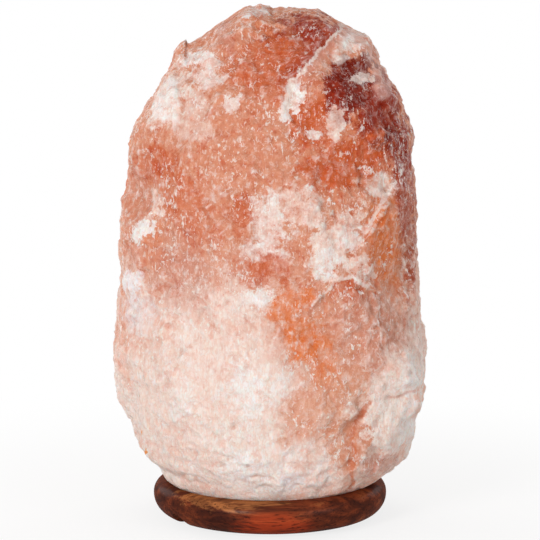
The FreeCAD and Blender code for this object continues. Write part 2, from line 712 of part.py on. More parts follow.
rivet_places = [(D["rivet_circle"], 0), (-D["rivet_circle"], 0)]
terminal_places = [on_circle(terminal_circle, D["terminal_angle"] + turn)
                   for turn in TERMINALS.values()]
cap_screw_places = [(0, cap_screw_circle), (0, -cap_screw_circle)]


def socket_body():
    """The moulded upper body: wiring space, web, shoulder, and a sleeve round the screw shell."""
    shell_hole = shell_outer + D["close_fit"]
    sleeve = shell_hole + D["sleeve_wall"]
    body = turned("socket_body", [
        (wiring_radius, cap_top), (holder_radius, cap_top), (holder_radius, shoulder_low),
        (shoulder_radius, shoulder_low), (shoulder_radius, web_top), (sleeve, web_top),
        (sleeve, holder_top), (shell_hole, holder_top), (shell_hole, web_top), (0, web_top),
        (0, web_low), (wiring_radius, web_low)])
    fit = D["close_fit"]
    drill_up(body, "rivet_holes", web_low, D["web_thickness"], D["rivet_diameter"] / 2 + fit,
             rivet_places)
    drill_up(body, "terminal_holes", web_low, D["terminal_screw_bite"] + fit,
             D["terminal_screw_diameter"] / 2 + fit, terminal_places)
    drill_up(body, "cap_screw_holes", web_low, D["cap_screw_bite"] + fit,
             D["cap_screw_diameter"] / 2 + fit, cap_screw_places)


def socket_cap():
    """The lower cap of the lampholder, with the hole for the cord bush."""
    bevel = D["cap_bevel"]
    hole = bush_radius + D["close_fit"]
    floor = holder_low + D["cap_floor"]
    body = turned("socket_cap", [
        (hole, holder_low), (holder_radius - bevel, holder_low), (holder_radius, holder_low + bevel),
        (holder_radius, cap_top), (wiring_radius, cap_top), (wiring_radius, floor), (hole, floor)])
    drill_up(body, "cap_screw_holes", holder_low, D["cap_floor"],
             D["cap_screw_diameter"] / 2 + D["close_fit"], cap_screw_places)


def cord_bush():
    """The bush that the mains cord enters the lampholder through."""
    bore = D["cord_hole_diameter"] / 2
    flange = bush_radius + D["bush_flange"]
    low = holder_low - D["bush_drop"]
    floor = holder_low + D["cap_floor"]
    top = floor + D["bush_flange_height"]
    turned("cord_bush", [
        (bore, low), (bush_radius, low), (bush_radius, floor), (flange, floor), (flange, top),
        (bore, top)])


def slotted_screw(name, seat, shank, length, head, head_height, place):
    """A slotted screw that goes up into the lampholder from its seat."""
    low = seat - head_height
    body = turned(name, [
        (0, low), (head, low), (head, seat), (shank, seat), (shank, seat + length),
        (0, seat + length)])
    slot(body, "driver_slot", head * 3, D["slot_width"], low, D["slot_depth"])
    stand_at(body, place)


def cap_screws():
    """The screws that hold the cap to the upper body."""
    for number, place in enumerate(cap_screw_places, 1):
        slotted_screw("cap_screw_%d" % number, holder_low, D["cap_screw_diameter"] / 2,
                      web_low + D["cap_screw_bite"] - holder_low,
                      D["cap_screw_head_diameter"] / 2, D["cap_screw_head_height"], place)


def terminal_screws():
    """The screws that clamp the wires under the terminals."""
    for name, place in zip(TERMINALS, terminal_places):
        slotted_screw("%s_terminal_screw" % name, strip_low, D["terminal_screw_diameter"] / 2,
                      D["strip_thickness"] + D["terminal_screw_bite"],
                      D["terminal_head_diameter"] / 2, D["terminal_head_height"], place)


def terminal_strips():
    """The brass strips under the web, from the rivet to the terminal screw."""
    fit = D["close_fit"]
    margin = D["terminal_margin"]
    screw = terminal_places[0]
    for name, angle in TERMINALS.items():
        body = new_body("%s_terminal" % name)
        sketch = new_sketch(body, "strip_outline", "XY_Plane", strip_low)
        rectangle(sketch, (D["rivet_circle"] - margin, -margin),
                  (screw[0] + margin, screw[1] + margin))
        circle(sketch, D["rivet_diameter"] / 2 + fit, (D["rivet_circle"], 0))
        circle(sketch, D["terminal_screw_diameter"] / 2 + fit, screw)
        extrude(body, "strip", sketch, D["strip_thickness"])
        turn_to(body, size(angle))


def rivets():
    """The rivets that join each terminal, through the web, to the piece above it."""
    shank = D["rivet_diameter"] / 2
    head = D["rivet_head_diameter"] / 2
    low = strip_low - D["rivet_head_height"]
    clamped = {"line": D["strip_thickness"], "neutral": D["shell_wall"]}
    for (name, above), place in zip(clamped.items(), rivet_places):
        top = web_top + above
        body = turned("%s_rivet" % name, [
            (0, low), (head, low), (head, strip_low), (shank, strip_low), (shank, top), (head, top),
            (head, top + D["rivet_head_height"]), (0, top + D["rivet_head_height"])])
        stand_at(body, place)


def centre_contact():
    """The sprung brass tongue that the bulb's tip rests on."""
    body = new_body("centre_contact")
    thick = D["strip_thickness"]
    rise = D["tongue_rise"]
    half = D["strip_width"] / 2
    end = contact_slot_end - D["strip_end_gap"]
    sketch = new_sketch(body, "tongue_outline")
    outline(sketch, [
        (end, web_top), (end, web_top + thick), (tongue_foot + thick / 2, web_top + thick),
        (tongue_crown + thick / 2, tongue_top), (-half, tongue_top), (-half, web_top + rise),
        (tongue_crown, web_top + rise), (tongue_foot, web_top)])
    extrude(body, "tongue", sketch, D["strip_width"], both_ways=True)
    drill_up(body, "rivet_hole", web_top, thick, D["rivet_diameter"] / 2 + D["close_fit"],
             rivet_places[:1])


def screw_shell():
    """The brass shell with the thread for the bulb, and the floor that its rivet holds."""
    wall = D["shell_wall"]
    body = turned("screw_shell", [
        (D["shell_mouth"], web_top), (shell_outer, web_top), (shell_outer, shell_top),
        (shell_radius, shell_top), (shell_radius, web_top + wall),
        (D["shell_mouth"], web_top + wall)])
    sketch = new_sketch(body, "contact_slot_outline", "XY_Plane", web_top)
    rectangle(sketch, (0, -contact_slot), (contact_slot_end, contact_slot))
    extrude(body, "contact_slot", sketch, wall, "PartDesign::Pocket", backwards=True)
    drill_up(body, "rivet_hole", web_top, wall, D["rivet_diameter"] / 2 + D["close_fit"],
             rivet_places[1:])
    rolled_thread(body, shell_radius, -D["shell_thread_height"], shell_thread_low)


def spring_clip():
    """The steel clip: a ring under the shoulder and three legs down to the wall of the hole."""
    body = new_body("spring_clip")
    thick = D["clip_thickness"]
    half = D["leg_width"] / 2
    ring = new_sketch(body, "ring_outline", "XY_Plane", clip_low)
    circle(ring, shoulder_radius)
    circle(ring, holder_radius + D["close_fit"])
    extrude(body, "ring", ring, thick)
    reach = hole_radius - D["leg_gap"]
    wall = (reach * reach - half * half).root()
    inner = shoulder_radius - D["leg_bend"] / 2
    bend = shoulder_radius + D["leg_bend"]
    grip_top = dish_floor - D["leg_grip_inset"]
    grip_low = wood_bottom + D["leg_grip_low"]
    tab_low = wood_bottom + D["leg_tab_low"]
    tab = wall - D["leg_tab_inset"]
    sketch = new_sketch(body, "leg_outline", turn=D["groove_angle"] + D["screw_angle"])
    outline(sketch, [
        (inner, shoulder_low), (bend, shoulder_low), (wall, grip_top), (wall, grip_low),
        (tab, tab_low), (tab - thick, tab_low), (wall - thick, grip_low), (wall - thick, grip_top),
        (bend - thick, clip_low), (inner, clip_low)])
    leg = extrude(body, "leg", sketch, D["leg_width"], both_ways=True)
    polar(body, "legs", leg, LEG_COUNT)


def clip_nut():
    """The ring nut that clamps the spring clip to the shoulder."""
    low = clip_low - D["nut_height"]
    bore = holder_radius + D["close_fit"]
    body = turned("clip_nut", [
        (bore, low), (shoulder_radius, low), (shoulder_radius, clip_low), (bore, clip_low)])
    sketch = new_sketch(body, "grip_outline", "XY_Plane", low)
    circle(sketch, D["nut_grip_radius"], (shoulder_radius + D["nut_grip_radius"] / 2, 0))
    grip = extrude(body, "grip", sketch, D["nut_height"], "PartDesign::Pocket", backwards=True)
    polar(body, "grips", grip, D["nut_grip_count"])


# ---------------------------------------------------------------------------------------------
# Bulb
# ---------------------------------------------------------------------------------------------


def bulb_contacts():
    """The solder tip and the black glass that keeps it apart from the cap."""
    tip = D["tip_radius"]
    corner = math.sqrt(0.5)
    turned("bulb_tip_contact", [
        (0, tip_low, tip * corner, insulator_low - D["tip_height"] * corner), (tip, insulator_low),
        (0, insulator_low)])
    turned("bulb_insulator", [
        (0, insulator_low), (D["insulator_radius"], insulator_low), (D["cap_radius"], bulb_cap_low),
        (0, bulb_cap_low)])


def bulb_cap():
    """The threaded metal cap."""
    outer = D["cap_radius"]
    inner = outer - D["cap_wall"]
    body = turned("bulb_cap", [
        (inner, bulb_cap_low), (outer, bulb_cap_low), (outer, bulb_cap_top), (inner, bulb_cap_top)])
    rolled_thread(body, outer, D["cap_thread_height"], thread_low)


def glass_wall(neck, widest):
    """One face of the glass envelope as stops of an outline, from the neck up to the crown."""
    across = (widest - neck) / 2
    up = D["bulb_flare"] / 2
    chord = (across * across + up * up).root()
    swell = chord * chord / (across * 2) * (size(1) - up / chord)
    flare_top = bulb_cap_top + D["bulb_flare"]
    dome = bulb_top - D["bulb_diameter"] / 2
    corner = math.sqrt(0.5)
    return [
        (neck, neck_low),
        (neck, bulb_cap_top, neck + swell, bulb_cap_top + chord / 2),
        (neck + across, bulb_cap_top + up, widest - swell, flare_top - chord / 2),
        (widest, flare_top),
        (widest, dome, widest * corner, dome + widest * corner),
        (0, dome + widest),
    ]


def reverse_stops(stops):
    """The same outline walked backwards, with each arc's middle point handed to its other end."""
    corners = [stop[:2] for stop in stops]
    middles = [stop[2:] for stop in stops[:-1]]
    return [corners[-1] + middles[-1]] + [
        corner + middle for corner, middle in zip(corners[-2:0:-1], middles[-2::-1])] + corners[:1]


def bulb_glass():
    """The hollow glass envelope."""
    wall = D["glass_wall"]
    outer = glass_wall(neck_radius, D["bulb_diameter"] / 2)
    inner = glass_wall(neck_radius - wall, D["bulb_diameter"] / 2 - wall)
    turned("bulb_glass", outer + reverse_stops(inner))


def bulb_stem():
    """The glass stem that carries the filament, sealed into the neck."""
    rim = neck_radius - D["glass_wall"]
    foot = neck_low + D["stem_foot"]
    turned("bulb_stem", [
        (0, neck_low), (rim, neck_low), (rim, foot), (D["stem_radius"], foot + D["stem_taper"]),
        (D["stem_radius"], stem_top), (0, stem_top)])


def straight_wire(name, role, diameter, foot, head):
    """A straight wire up from the stem, in the upright plane of that role."""
    body = new_body(name)
    ring = new_sketch(body, "wire_section", "XY_Plane", foot[1])
    circle(ring, diameter / 2, (foot[0], 0) if role == "XZ_Plane" else (0, foot[0]))
    path = new_sketch(body, "wire_path", role)
    line = path.addGeometry(Part.LineSegment(flat(foot), flat(head)))
    pin(path, line, 1, foot)
    pin(path, line, 2, head)
    doc.recompute()
    wire = body.newObject("PartDesign::AdditivePipe", "wire")
    wire.Profile = ring
    wire.Spine = (path, ["Edge1"])
    finish_feature(body, wire)


def filament():
    """The bowed filament between the lead wires, with their upper ends and its one support."""
    bow = D["filament_bow"]
    spread = D["lead_spread"]
    radius = (spread * spread + bow * bow) / (bow * 2)
    body = new_body("bulb_filament")
    sketch = new_sketch(body, "filament_section")
    axis = upright_axis(sketch, bow - radius)
    circle(sketch, D["filament_diameter"] / 2, (bow, filament_height))
    feature = body.newObject("PartDesign::Revolution", "filament")
    feature.Profile = sketch
    feature.ReferenceAxis = axis
    feature.Midplane = True
    feature.setExpression("Angle", "2 * asin(%s)" % (spread / radius).text)
    finish_feature(body, feature)

    low = filament_height - D["filament_diameter"] / 2
    lead = D["lead_diameter"]
    straight_wire("bulb_lead_wire_1", "YZ_Plane", lead, (-D["lead_foot"], stem_top), (-spread, low))
    straight_wire("bulb_lead_wire_2", "YZ_Plane", lead, (D["lead_foot"], stem_top), (spread, low))
    straight_wire("filament_support", "XZ_Plane", D["support_diameter"], (0, stem_top), (bow, low))


# ---------------------------------------------------------------------------------------------
# Build, check and write
# ---------------------------------------------------------------------------------------------

salt_crystal()
wooden_base()
rubber_feet()
fixing_screws()
socket_body()
socket_cap()
cord_bush()
cap_screws()
terminal_strips()
terminal_screws()
rivets()
centre_contact()
screw_shell()
spring_clip()
clip_nut()
bulb_contacts()
bulb_cap()
bulb_glass()
bulb_stem()
filament()
doc.recompute()

for item in doc.Objects:
    if "Invalid" in item.State or "Error" in item.State:
        raise RuntimeError("%s failed: %s" % (item.Label, item.State))
for piece in pieces:
    shape = piece.Shape
    if shape.isNull() or not shape.isValid() or len(shape.Solids) != 1:
        raise RuntimeError("%s is not one valid solid" % piece.Label)

os.makedirs("parts", exist_ok=True)
for piece in pieces:
    piece.Shape.exportStep("parts/%s.step" % piece.Label)
    box = piece.Shape.optimalBoundingBox()
    print("%-22s %9.1f mm3  z %6.2f to %6.2f" % (piece.Label, piece.Shape.Volume, box.ZMin, box.ZMax))
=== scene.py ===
# Salt crystal lamp: looks.  A rough block of pink rock salt on a varnished wooden base, unlit.
#
# Metres, +Z up, front -Y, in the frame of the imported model.  Lengths named here are in millimetres,
# which MM turns into metres, unless a comment says metres.

import bpy
import json
import math
import numpy as np
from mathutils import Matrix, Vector, noise


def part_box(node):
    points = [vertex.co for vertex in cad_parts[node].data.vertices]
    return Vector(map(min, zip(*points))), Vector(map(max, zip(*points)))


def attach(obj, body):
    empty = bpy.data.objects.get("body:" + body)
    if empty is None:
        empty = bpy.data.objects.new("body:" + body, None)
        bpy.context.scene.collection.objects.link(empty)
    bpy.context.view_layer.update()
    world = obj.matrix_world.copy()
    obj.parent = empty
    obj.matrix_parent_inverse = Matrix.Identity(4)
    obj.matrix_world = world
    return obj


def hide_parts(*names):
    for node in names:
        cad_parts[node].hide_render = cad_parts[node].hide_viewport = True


MM = 0.001

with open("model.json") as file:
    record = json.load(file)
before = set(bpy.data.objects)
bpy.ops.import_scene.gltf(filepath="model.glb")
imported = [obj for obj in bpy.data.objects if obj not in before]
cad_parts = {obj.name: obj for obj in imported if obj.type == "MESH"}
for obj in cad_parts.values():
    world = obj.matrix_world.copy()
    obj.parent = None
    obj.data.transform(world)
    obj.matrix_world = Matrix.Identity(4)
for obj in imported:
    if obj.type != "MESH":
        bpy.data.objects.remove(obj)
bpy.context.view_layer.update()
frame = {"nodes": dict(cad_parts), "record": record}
nodes = frame["nodes"]
scene = bpy.context.scene

salt_low, salt_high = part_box("salt_crystal")

# ---------------------------------------------------------------------------------------------
# Node graph helpers
# ---------------------------------------------------------------------------------------------


def new_material(name):
    """An empty node material and its tree."""
    material = bpy.data.materials.new(name)
    material.use_nodes = True
    material.node_tree.nodes.clear()
    return material, material.node_tree


def fill(tree, socket, value):
    """Links a socket, or sets it to a plain value."""
    if isinstance(value, bpy.types.NodeSocket):
        tree.links.new(value, socket)
    elif isinstance(value, (tuple, list)) and len(value) == 3 and socket.type == "RGBA":
        socket.default_value = (*value, 1.0)
    else:
        socket.default_value = value


def add(tree, kind, inputs=None, output=0, **settings):
    """Adds a node with its settings and inputs, and gives back one of its outputs."""
    node = tree.nodes.new(kind)
    for name, value in settings.items():
        setattr(node, name, value)
    for name, value in (inputs or {}).items():
        fill(tree, node.inputs[name], value)
    return node.outputs[output]


def place(tree):
    """The place of a point on the object, in metres."""
    return add(tree, "ShaderNodeTexCoord", output="Object")


def math_node(tree, operation, first, second=0.0, third=0.0):
    """A sum, product or other operation on values."""
    return add(tree, "ShaderNodeMath", {0: first, 1: second, 2: third}, operation=operation)


def times(tree, first, second):
    """The product of two values."""
    return math_node(tree, "MULTIPLY", first, second)


def vector_node(tree, operation, first, second=(0.0, 0.0, 0.0)):
    """An operation on vectors, which gives a vector or a value."""
    output = "Value" if operation in ("LENGTH", "DISTANCE") else "Vector"
    return add(tree, "ShaderNodeVectorMath", {0: first, 1: second}, output, operation=operation)


def noise_node(tree, vector, size, detail=4.0, roughness=0.55, distortion=0.0, output="Fac"):
    """Noise whose features are about that many millimetres wide."""
    return add(tree, "ShaderNodeTexNoise", {
        "Vector": vector, "Scale": 1.0 / (size * MM), "Detail": detail, "Roughness": roughness,
        "Distortion": distortion}, output)


def signed_noise(tree, vector, size, detail, roughness):
    """Noise about 0 whose features are about that many millimetres wide."""
    return add(tree, "ShaderNodeTexNoise", {
        "Vector": vector, "Scale": 1.0 / (size * MM), "Detail": detail, "Roughness": roughness},
        normalize=False)


def moved_about(tree, point, at, size, detail, roughness, amount):
    """A point moved about by a noise of that size, by up to about half the amount each way, mm."""
    colours = noise_node(tree, at, size, detail, roughness, output="Color")
    centred = vector_node(tree, "SUBTRACT", colours, (0.5, 0.5, 0.5))
    return vector_node(tree, "ADD", point,
                       vector_node(tree, "MULTIPLY", centred, (amount * MM,) * 3))


def step(tree, value, low, high, to_low=0.0, to_high=1.0):
    """A smooth step of a value between two bounds."""
    return add(tree, "ShaderNodeMapRange", {
        "Value": value, "From Min": low, "From Max": high, "To Min": to_low, "To Max": to_high},
        "Result", interpolation_type="SMOOTHSTEP")


def share_of(tree, value, low, high, most):
    """A smooth step of a value that ends at a given share, which may itself be a socket."""
    return times(tree, step(tree, value, low, high), most)


def mix(tree, share, first, second, blend="MIX"):
    """A mix of two colours."""
    node = tree.nodes.new("ShaderNodeMix")
    node.data_type = "RGBA"
    node.blend_type = blend
    fill(tree, node.inputs["Factor"], share)
    fill(tree, node.inputs[6], first)
    fill(tree, node.inputs[7], second)
    return node.outputs[2]


def ramp(tree, value, stops):
    """A colour ramp through (position, colour) stops."""
    node = tree.nodes.new("ShaderNodeValToRGB")
    elements = node.color_ramp.elements
    while len(elements) < len(stops):
        elements.new(0.5)
    for element, (position, colour) in zip(elements, stops):
        element.position = position
        element.color = (*colour, 1.0)
    fill(tree, node.inputs["Fac"], value)
    return node.outputs["Color"]


def bump(tree, height, distance, strength=1.0):
    """A bump of about that depth in millimetres."""
    return add(tree, "ShaderNodeBump", {
        "Height": height, "Distance": distance * MM, "Strength": strength}, "Normal")


def surface(tree, **inputs):
    """A principled shader on the material's output."""
    shader = tree.nodes.new("ShaderNodeBsdfPrincipled")
    for name, value in inputs.items():
        fill(tree, shader.inputs[name.replace("_", " ")], value)
    output = tree.nodes.new("ShaderNodeOutputMaterial")
    tree.links.new(shader.outputs["BSDF"], output.inputs["Surface"])


def dress(name, material):
    """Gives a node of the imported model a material."""
    node = nodes[name]
    if not node.material_slots:
        node.data.materials.append(material)
    for slot in node.material_slots:
        slot.material = material


# ---------------------------------------------------------------------------------------------
# Rock salt: colours and where they lie
# ---------------------------------------------------------------------------------------------

# Colours of the salt, linear
PALE = (0.92, 0.77, 0.70)
GREY_PINK = (0.92, 0.81, 0.75)
ROSE = (0.64, 0.28, 0.20)
PEACH = (0.72, 0.32, 0.20)
ORANGE = (0.64, 0.145, 0.050)
VIVID = (0.80, 0.24, 0.080)
BRICK = (0.33, 0.032, 0.011)
MAROON = (0.21, 0.018, 0.008)
CLAY = (0.47, 0.12, 0.065)
APRICOT = (0.76, 0.38, 0.25)
WHITE = (0.95, 0.91, 0.89)
LILAC = (0.90, 0.85, 0.88)
MILKY = (0.96, 0.94, 0.92)
SPECK = (0.85, 0.30, 0.05)
RIM_PINK = (0.74, 0.46, 0.40)
SEAM_ORANGE = (0.66, 0.20, 0.09)
RIDGE_RED = (0.42, 0.055, 0.018)
RIDGE_PINK = (0.72, 0.36, 0.28)
RIDGE_WHITE = (0.93, 0.80, 0.74)

# What the colour is multiplied by in deeper pits, in fine dark strokes, and in inner edges as painted
# shade
PITTED = (0.86, 0.50, 0.40)
HATCHED = (0.90, 0.68, 0.60)
CREVICE_SHADE = (0.88, 0.62, 0.53)

# Patches of colour on the front, as the photograph shows them.  Each row: colour, centre x and z,
# half width and half height, tilt in degrees (positive leans the top to the left), strength, and
# how crisp and ragged its edge is, 0 to 1.  Millimetres.  Later rows lie over earlier ones.
FRONT_ZONES = [
    # the upper half in broad strokes
    (PEACH, (-16, 172), (46, 52), 0, 0.9, 0.0),
    (PEACH, (36, 124), (34, 46), 8, 0.85, 0.0),
    (ORANGE, (-1, 205), (19, 15), 0, 0.75, 0.2),
    (ROSE, (-20, 219), (13, 6), -35, 0.7, 0.3),
    (BRICK, (15, 219), (16, 9), 6, 1.0, 0.4),
    (ORANGE, (8, 209), (10, 10), -30, 0.75, 0.2),
    (ORANGE, (20, 184), (12, 13), 10, 1.0, 0.2),
    (BRICK, (48, 184), (13, 22), 8, 1.2, 0.3),
    (BRICK, (32, 196), (9, 13), -8, 1.3, 0.4),
    (MAROON, (37, 203), (10, 8), 20, 1.1, 0.4),
    (MAROON, (37, 194), (7, 6), 30, 0.9, 0.5),
    (MAROON, (50, 172), (9, 6), 12, 0.9, 0.4),
    (ORANGE, (32, 164), (18, 12), 12, 1.1, 0.4),
    (BRICK, (61, 158), (8, 24), 4, 1.1, 0.3),
    (VIVID, (50, 131), (9, 22), 8, 0.9, 0.4),
    (CLAY, (62, 133), (7, 28), 3, 1.1, 0.4),
    # pale cap of the left shoulder, and the left side
    (PALE, (-44, 194), (9, 16), -22, 0.95, 0.3),
    (WHITE, (-30, 208), (13, 4), 5, 0.85, 0.6),
    (WHITE, (-29, 201), (8, 5), -15, 0.6, 0.6),
    (WHITE, (-46, 191), (5, 10), -22, 0.6, 0.4),
    (PALE, (-32, 184), (8, 11), -10, 0.6, 0.3),
    (WHITE, (-4, 229), (9, 3), 10, 0.9, 0.5),
    (ORANGE, (-50, 163), (11, 9), 0, 0.65, 0.2),
    (ORANGE, (-35, 146), (9, 24), 33, 0.5, 0.2),
    (PALE, (-49, 147), (3, 7), 10, 0.8, 0.8),
    (ROSE, (-59, 140), (7, 26), 0, 0.5, 0.2),
    (ROSE, (-38, 118), (14, 20), 15, 0.6, 0.3),
    (WHITE, (-54, 135), (3.4, 8), -35, 1.3, 0.9),
    (LILAC, (-61, 111), (3.5, 6), 0, 1.3, 0.9),
    (LILAC, (-58, 97), (8, 11), 0, 0.7, 0.4),
    # the middle
    (ORANGE, (-13, 143), (6, 8), 0, 0.7, 0.6),
    (PALE, (10, 147), (13, 9), 0, 0.7, 0.5),
    (WHITE, (0, 139), (7.5, 15), 4, 0.65, 0.6),
    (WHITE, (-6, 127), (8, 4.5), 0, 0.75, 0.6),
    (PALE, (28, 131), (9, 16), -38, 0.85, 0.7),
    (WHITE, (24, 123), (5, 6), -30, 0.8, 0.7),
    (WHITE, (33, 132), (6, 6), 0, 0.6, 0.5),
    (PALE, (38, 120), (5, 7), 10, 0.85, 0.9),
    (PALE, (48, 153), (6.5, 4), -25, 0.8, 0.5),
    (ORANGE, (-6, 119), (11, 7.5), 0, 0.75, 0.4),
    (ORANGE, (34, 110), (8, 5), 0, 0.7, 0.6),
    (PALE, (-14, 107), (13, 9), 0, 0.7, 0.4),
    (WHITE, (-4, 109), (7, 4), -10, 0.9, 0.8),
    (VIVID, (8, 105), (9, 5.5), 32, 1.0, 0.5),
    # the vein down to the right, and the pale lower half
    (PALE, (-32, 62), (36, 44), 0, 0.9, 0.0),
    (ROSE, (44, 92), (18, 18), 0, 0.45, 0.2),
    (PEACH, (22, 82), (15, 26), 38, 0.75, 0.1),
    (VIVID, (14, 91), (9, 11), 38, 0.95, 0.2),
    (VIVID, (25, 75), (7, 12), 34, 0.7, 0.1),
    (GREY_PINK, (-6, 46), (19, 15), 0, 0.95, 0.2),
    (WHITE, (-11, 68), (9, 13), 10, 0.9, 0.7),
    (WHITE, (5, 66), (7, 9), 0, 0.7, 0.7),
    (WHITE, (-13, 36), (6, 5.5), 0, 0.9, 0.6),
    (WHITE, (-38, 62), (4, 16), -25, 0.5, 0.5),
    (WHITE, (14, 44), (9, 4), 20, 0.5, 0.6),
    (ROSE, (34, 35), (7, 9), -15, 0.8, 0.5),
    (ROSE, (48, 31), (10, 6), 0, 0.6, 0.4),
    (GREY_PINK, (59, 69), (12, 9), 0, 0.95, 0.6),
    (GREY_PINK, (53, 49), (12, 13), 8, 0.95, 0.7),
    (APRICOT, (22, 60), (20, 14), 25, 0.8, 0.2),
    (APRICOT, (33, 37), (8, 14), 8, 0.9, 0.3),
    (PEACH, (38.5, 46), (5, 12), 5, 1.0, 0.4),
    (WHITE, (61, 48), (5, 12), -10, 0.8, 0.6),
    (WHITE, (62, 68), (6, 8), 0, 0.7, 0.6),
    # small chips
    (GREY_PINK, (39.5, 199.5), (4.5, 2.8), 10, 0.75, 0.9),
    (PALE, (27, 181), (3.5, 6), 10, 0.9, 0.9),
    (WHITE, (18.5, 178), (3, 2), -20, 0.8, 0.9),
    (WHITE, (-17, 190), (3, 4), -30, 0.7, 0.9),
    # pale flank of the lobe beside the ridge, and the ridge's crushed foot
    (PALE, (36, 215), (10, 5), 25, 0.8, 0.5),
    (WHITE, (34, 217), (4, 4), 0, 0.6, 0.7),
    (WHITE, (10.5, 193), (4.5, 8), -12, 0.95, 0.8),
    (WHITE, (7.5, 187), (3.5, 4.5), 0, 0.95, 0.8),
    # the bottom edge; the broad white band is partly the salt's own pale edge and partly painted
    # light that lifts the shade under the overhang
    (WHITE, (5, 29), (27, 8), 0, 0.6, 0.3),
    (LILAC, (11, 28.5), (5, 4), 0, 0.6, 0.9),
]
FRONT_DEPTH = (-50, 48)  # y of the middle of the front zones, and how far they reach in depth, mm

# The same for the back, which the photograph doesn't show, with x as seen from the front
BACK_ZONES = [
    (PEACH, (6, 160), (54, 56), 0, 0.85, 0.0),
    (ORANGE, (-28, 172), (20, 16), 20, 0.9, 0.4),
    (BRICK, (18, 208), (26, 14), -10, 0.8, 0.4),
    (MAROON, (-8, 190), (11, 7), 10, 0.8, 0.5),
    (ORANGE, (26, 122), (12, 30), -25, 0.9, 0.5),
    (VIVID, (6, 86), (12, 16), -30, 0.8, 0.4),
    (PALE, (-34, 84), (26, 34), 0, 0.9, 0.2),
    (PALE, (30, 52), (26, 22), 0, 0.9, 0.2),
    (WHITE, (-10, 140), (16, 10), 20, 0.85, 0.8),
    (WHITE, (34, 66), (14, 9), 0, 0.85, 0.7),
    (WHITE, (-36, 44), (12, 7), 15, 0.7, 0.6),
]
BACK_DEPTH = (52, 48)

# The edge of a zone, soft and crisp: how far the rag moves it, and where it begins and where it is
# full, as shares of the zone's size
SOFT_EDGE = (0.25, 1.35, 0.55)
CRISP_EDGE = (0.80, 1.13, 0.90)

# Orange specks low on the left: place and radius, mm
SPECKS = [((-57.5, -28, 42.5), 2.3), ((-54.7, -27, 34.5), 1.4)]
SPECK_RAG = 0.8  # how far their edges are ragged, mm
SPECK_EDGE = (1.15, 0.85)  # where they begin and are full, as shares of the radius

# Lines on the front, as places x and z in millimetres: the crushed ridge down from the top, the
# outer rim of the raised lobe to its right, the crease of the left shoulder, the edge of the right
# flank, the arc in the middle, the scar on the left, the orange seam at the lower right and the
# line between the two pale lumps beside it
RIDGE = [(30.5, 220.5), (26.5, 217.5), (22, 213), (18.5, 209), (14.5, 205.5), (13, 202.5),
         (9.5, 200), (7.5, 196.5), (7, 191), (6, 187), (8, 184.5)]
RIM = [(30, 222), (37, 219), (43, 213), (47, 206), (49, 199), (49, 192)]
CREASE = [(-42, 199), (-40, 190), (-41, 180)]
FLANK = [(58, 162), (55, 156), (51, 151), (46, 144), (42, 137)]
ARC = [(24, 110), (30, 116), (36, 116), (42, 111)]
SCAR = [(-57, 115), (-54, 108), (-51, 100)]
SEAM = [(42, 59), (40, 55), (37.5, 50), (36.5, 45), (37, 37), (35.5, 29), (36, 20)]
LUMP_LINE = [(51, 62), (54, 61.5), (60, 62.5), (66, 64)]

# Heights between which the ground turns from pale to peach, and from clear and even to lively, mm
GROUND_LEVELS = (60, 150)
LIVELY_LEVELS = (65, 125)

# Half widths of the bands of colour along the lines, mm, and how strong they are
WHITE_EDGES = [(CREASE, 1.3), (FLANK, 1.0), (ARC, 0.9), (SCAR, 1.1)]
WHITE_STRENGTH = 0.6
RIM_WIDTH, RIM_STRENGTH = 5.0, 0.6
SEAM_WIDTH, SEAM_STRENGTH = 1.5, 0.75
LUMP_LINE_WIDTH, LUMP_LINE_SHARE = 1.0, 0.5  # the share is of the seam's strength
BAND_OVERLAP = 0.75  # half length of each stretch of a band, as a share of the stretch

# Colours beside the ridge, in millimetres to the right of its line: where the red and the pink
# begin and are full, the middle of the white lip, how far from there the lip ends and is full, and
# the rag of it all
RIDGE_RED_REACH = (-13.0, -1.0)
RIDGE_PINK_REACH = (9.0, 2.0)
RIDGE_LIP_MIDDLE = 0.6
RIDGE_LIP_REACH = (1.5, 0.5)
RIDGE_RAG = 1.3
RIDGE_SIDES = (195, 204)  # heights at which the red and the pink begin and are full, mm
RIDGE_FRONT = (5, -10)  # y at which the colours of the ridge begin and are full, mm
RIDGE_STRENGTHS = (0.9, 0.8, 0.85)  # of the red, the pink and the white

# How strongly the fine strokes lighten and darken the salt
BRIGHT_STRENGTH, DARK_STRENGTH = 0.8, 0.4


def zone_mask(tree, at, rag, centre, half, tilt, depth, crisp=0.0):
    """An ellipsoid with a soft or a crisp, ragged edge, 1 inside and 0 outside."""
    moved_by, begins, full = (soft + (sharp - soft) * crisp
                              for soft, sharp in zip(SOFT_EDGE, CRISP_EDGE))
    middle = (centre[0] * MM, depth[0] * MM, centre[1] * MM)
    size = (half[0] * MM, depth[1] * MM, half[1] * MM)
    moved = vector_node(tree, "SUBTRACT", at, middle)
    turned = add(tree, "ShaderNodeVectorRotate", {"Vector": moved, "Angle": math.radians(tilt)},
                 "Vector", rotation_type="Y_AXIS")
    reach = vector_node(tree, "LENGTH", vector_node(tree, "DIVIDE", turned, size))
    reach = math_node(tree, "MULTIPLY_ADD", rag, moved_by, reach)
    return step(tree, reach, begins, full)


def line_mask(tree, at, points, width):
    """A soft-edged band along a line of points on the front face."""
    total = None
    for start, end in zip(points, points[1:]):
        middle = ((start[0] + end[0]) / 2, (start[1] + end[1]) / 2)
        half = (width, math.dist(start, end) * BAND_OVERLAP)
        tilt = math.degrees(math.atan2(end[0] - start[0], start[1] - end[1]))
        part = zone_mask(tree, at, 0.0, middle, half, tilt, FRONT_DEPTH)
        total = part if total is None else math_node(tree, "MAXIMUM", total, part)
    return total


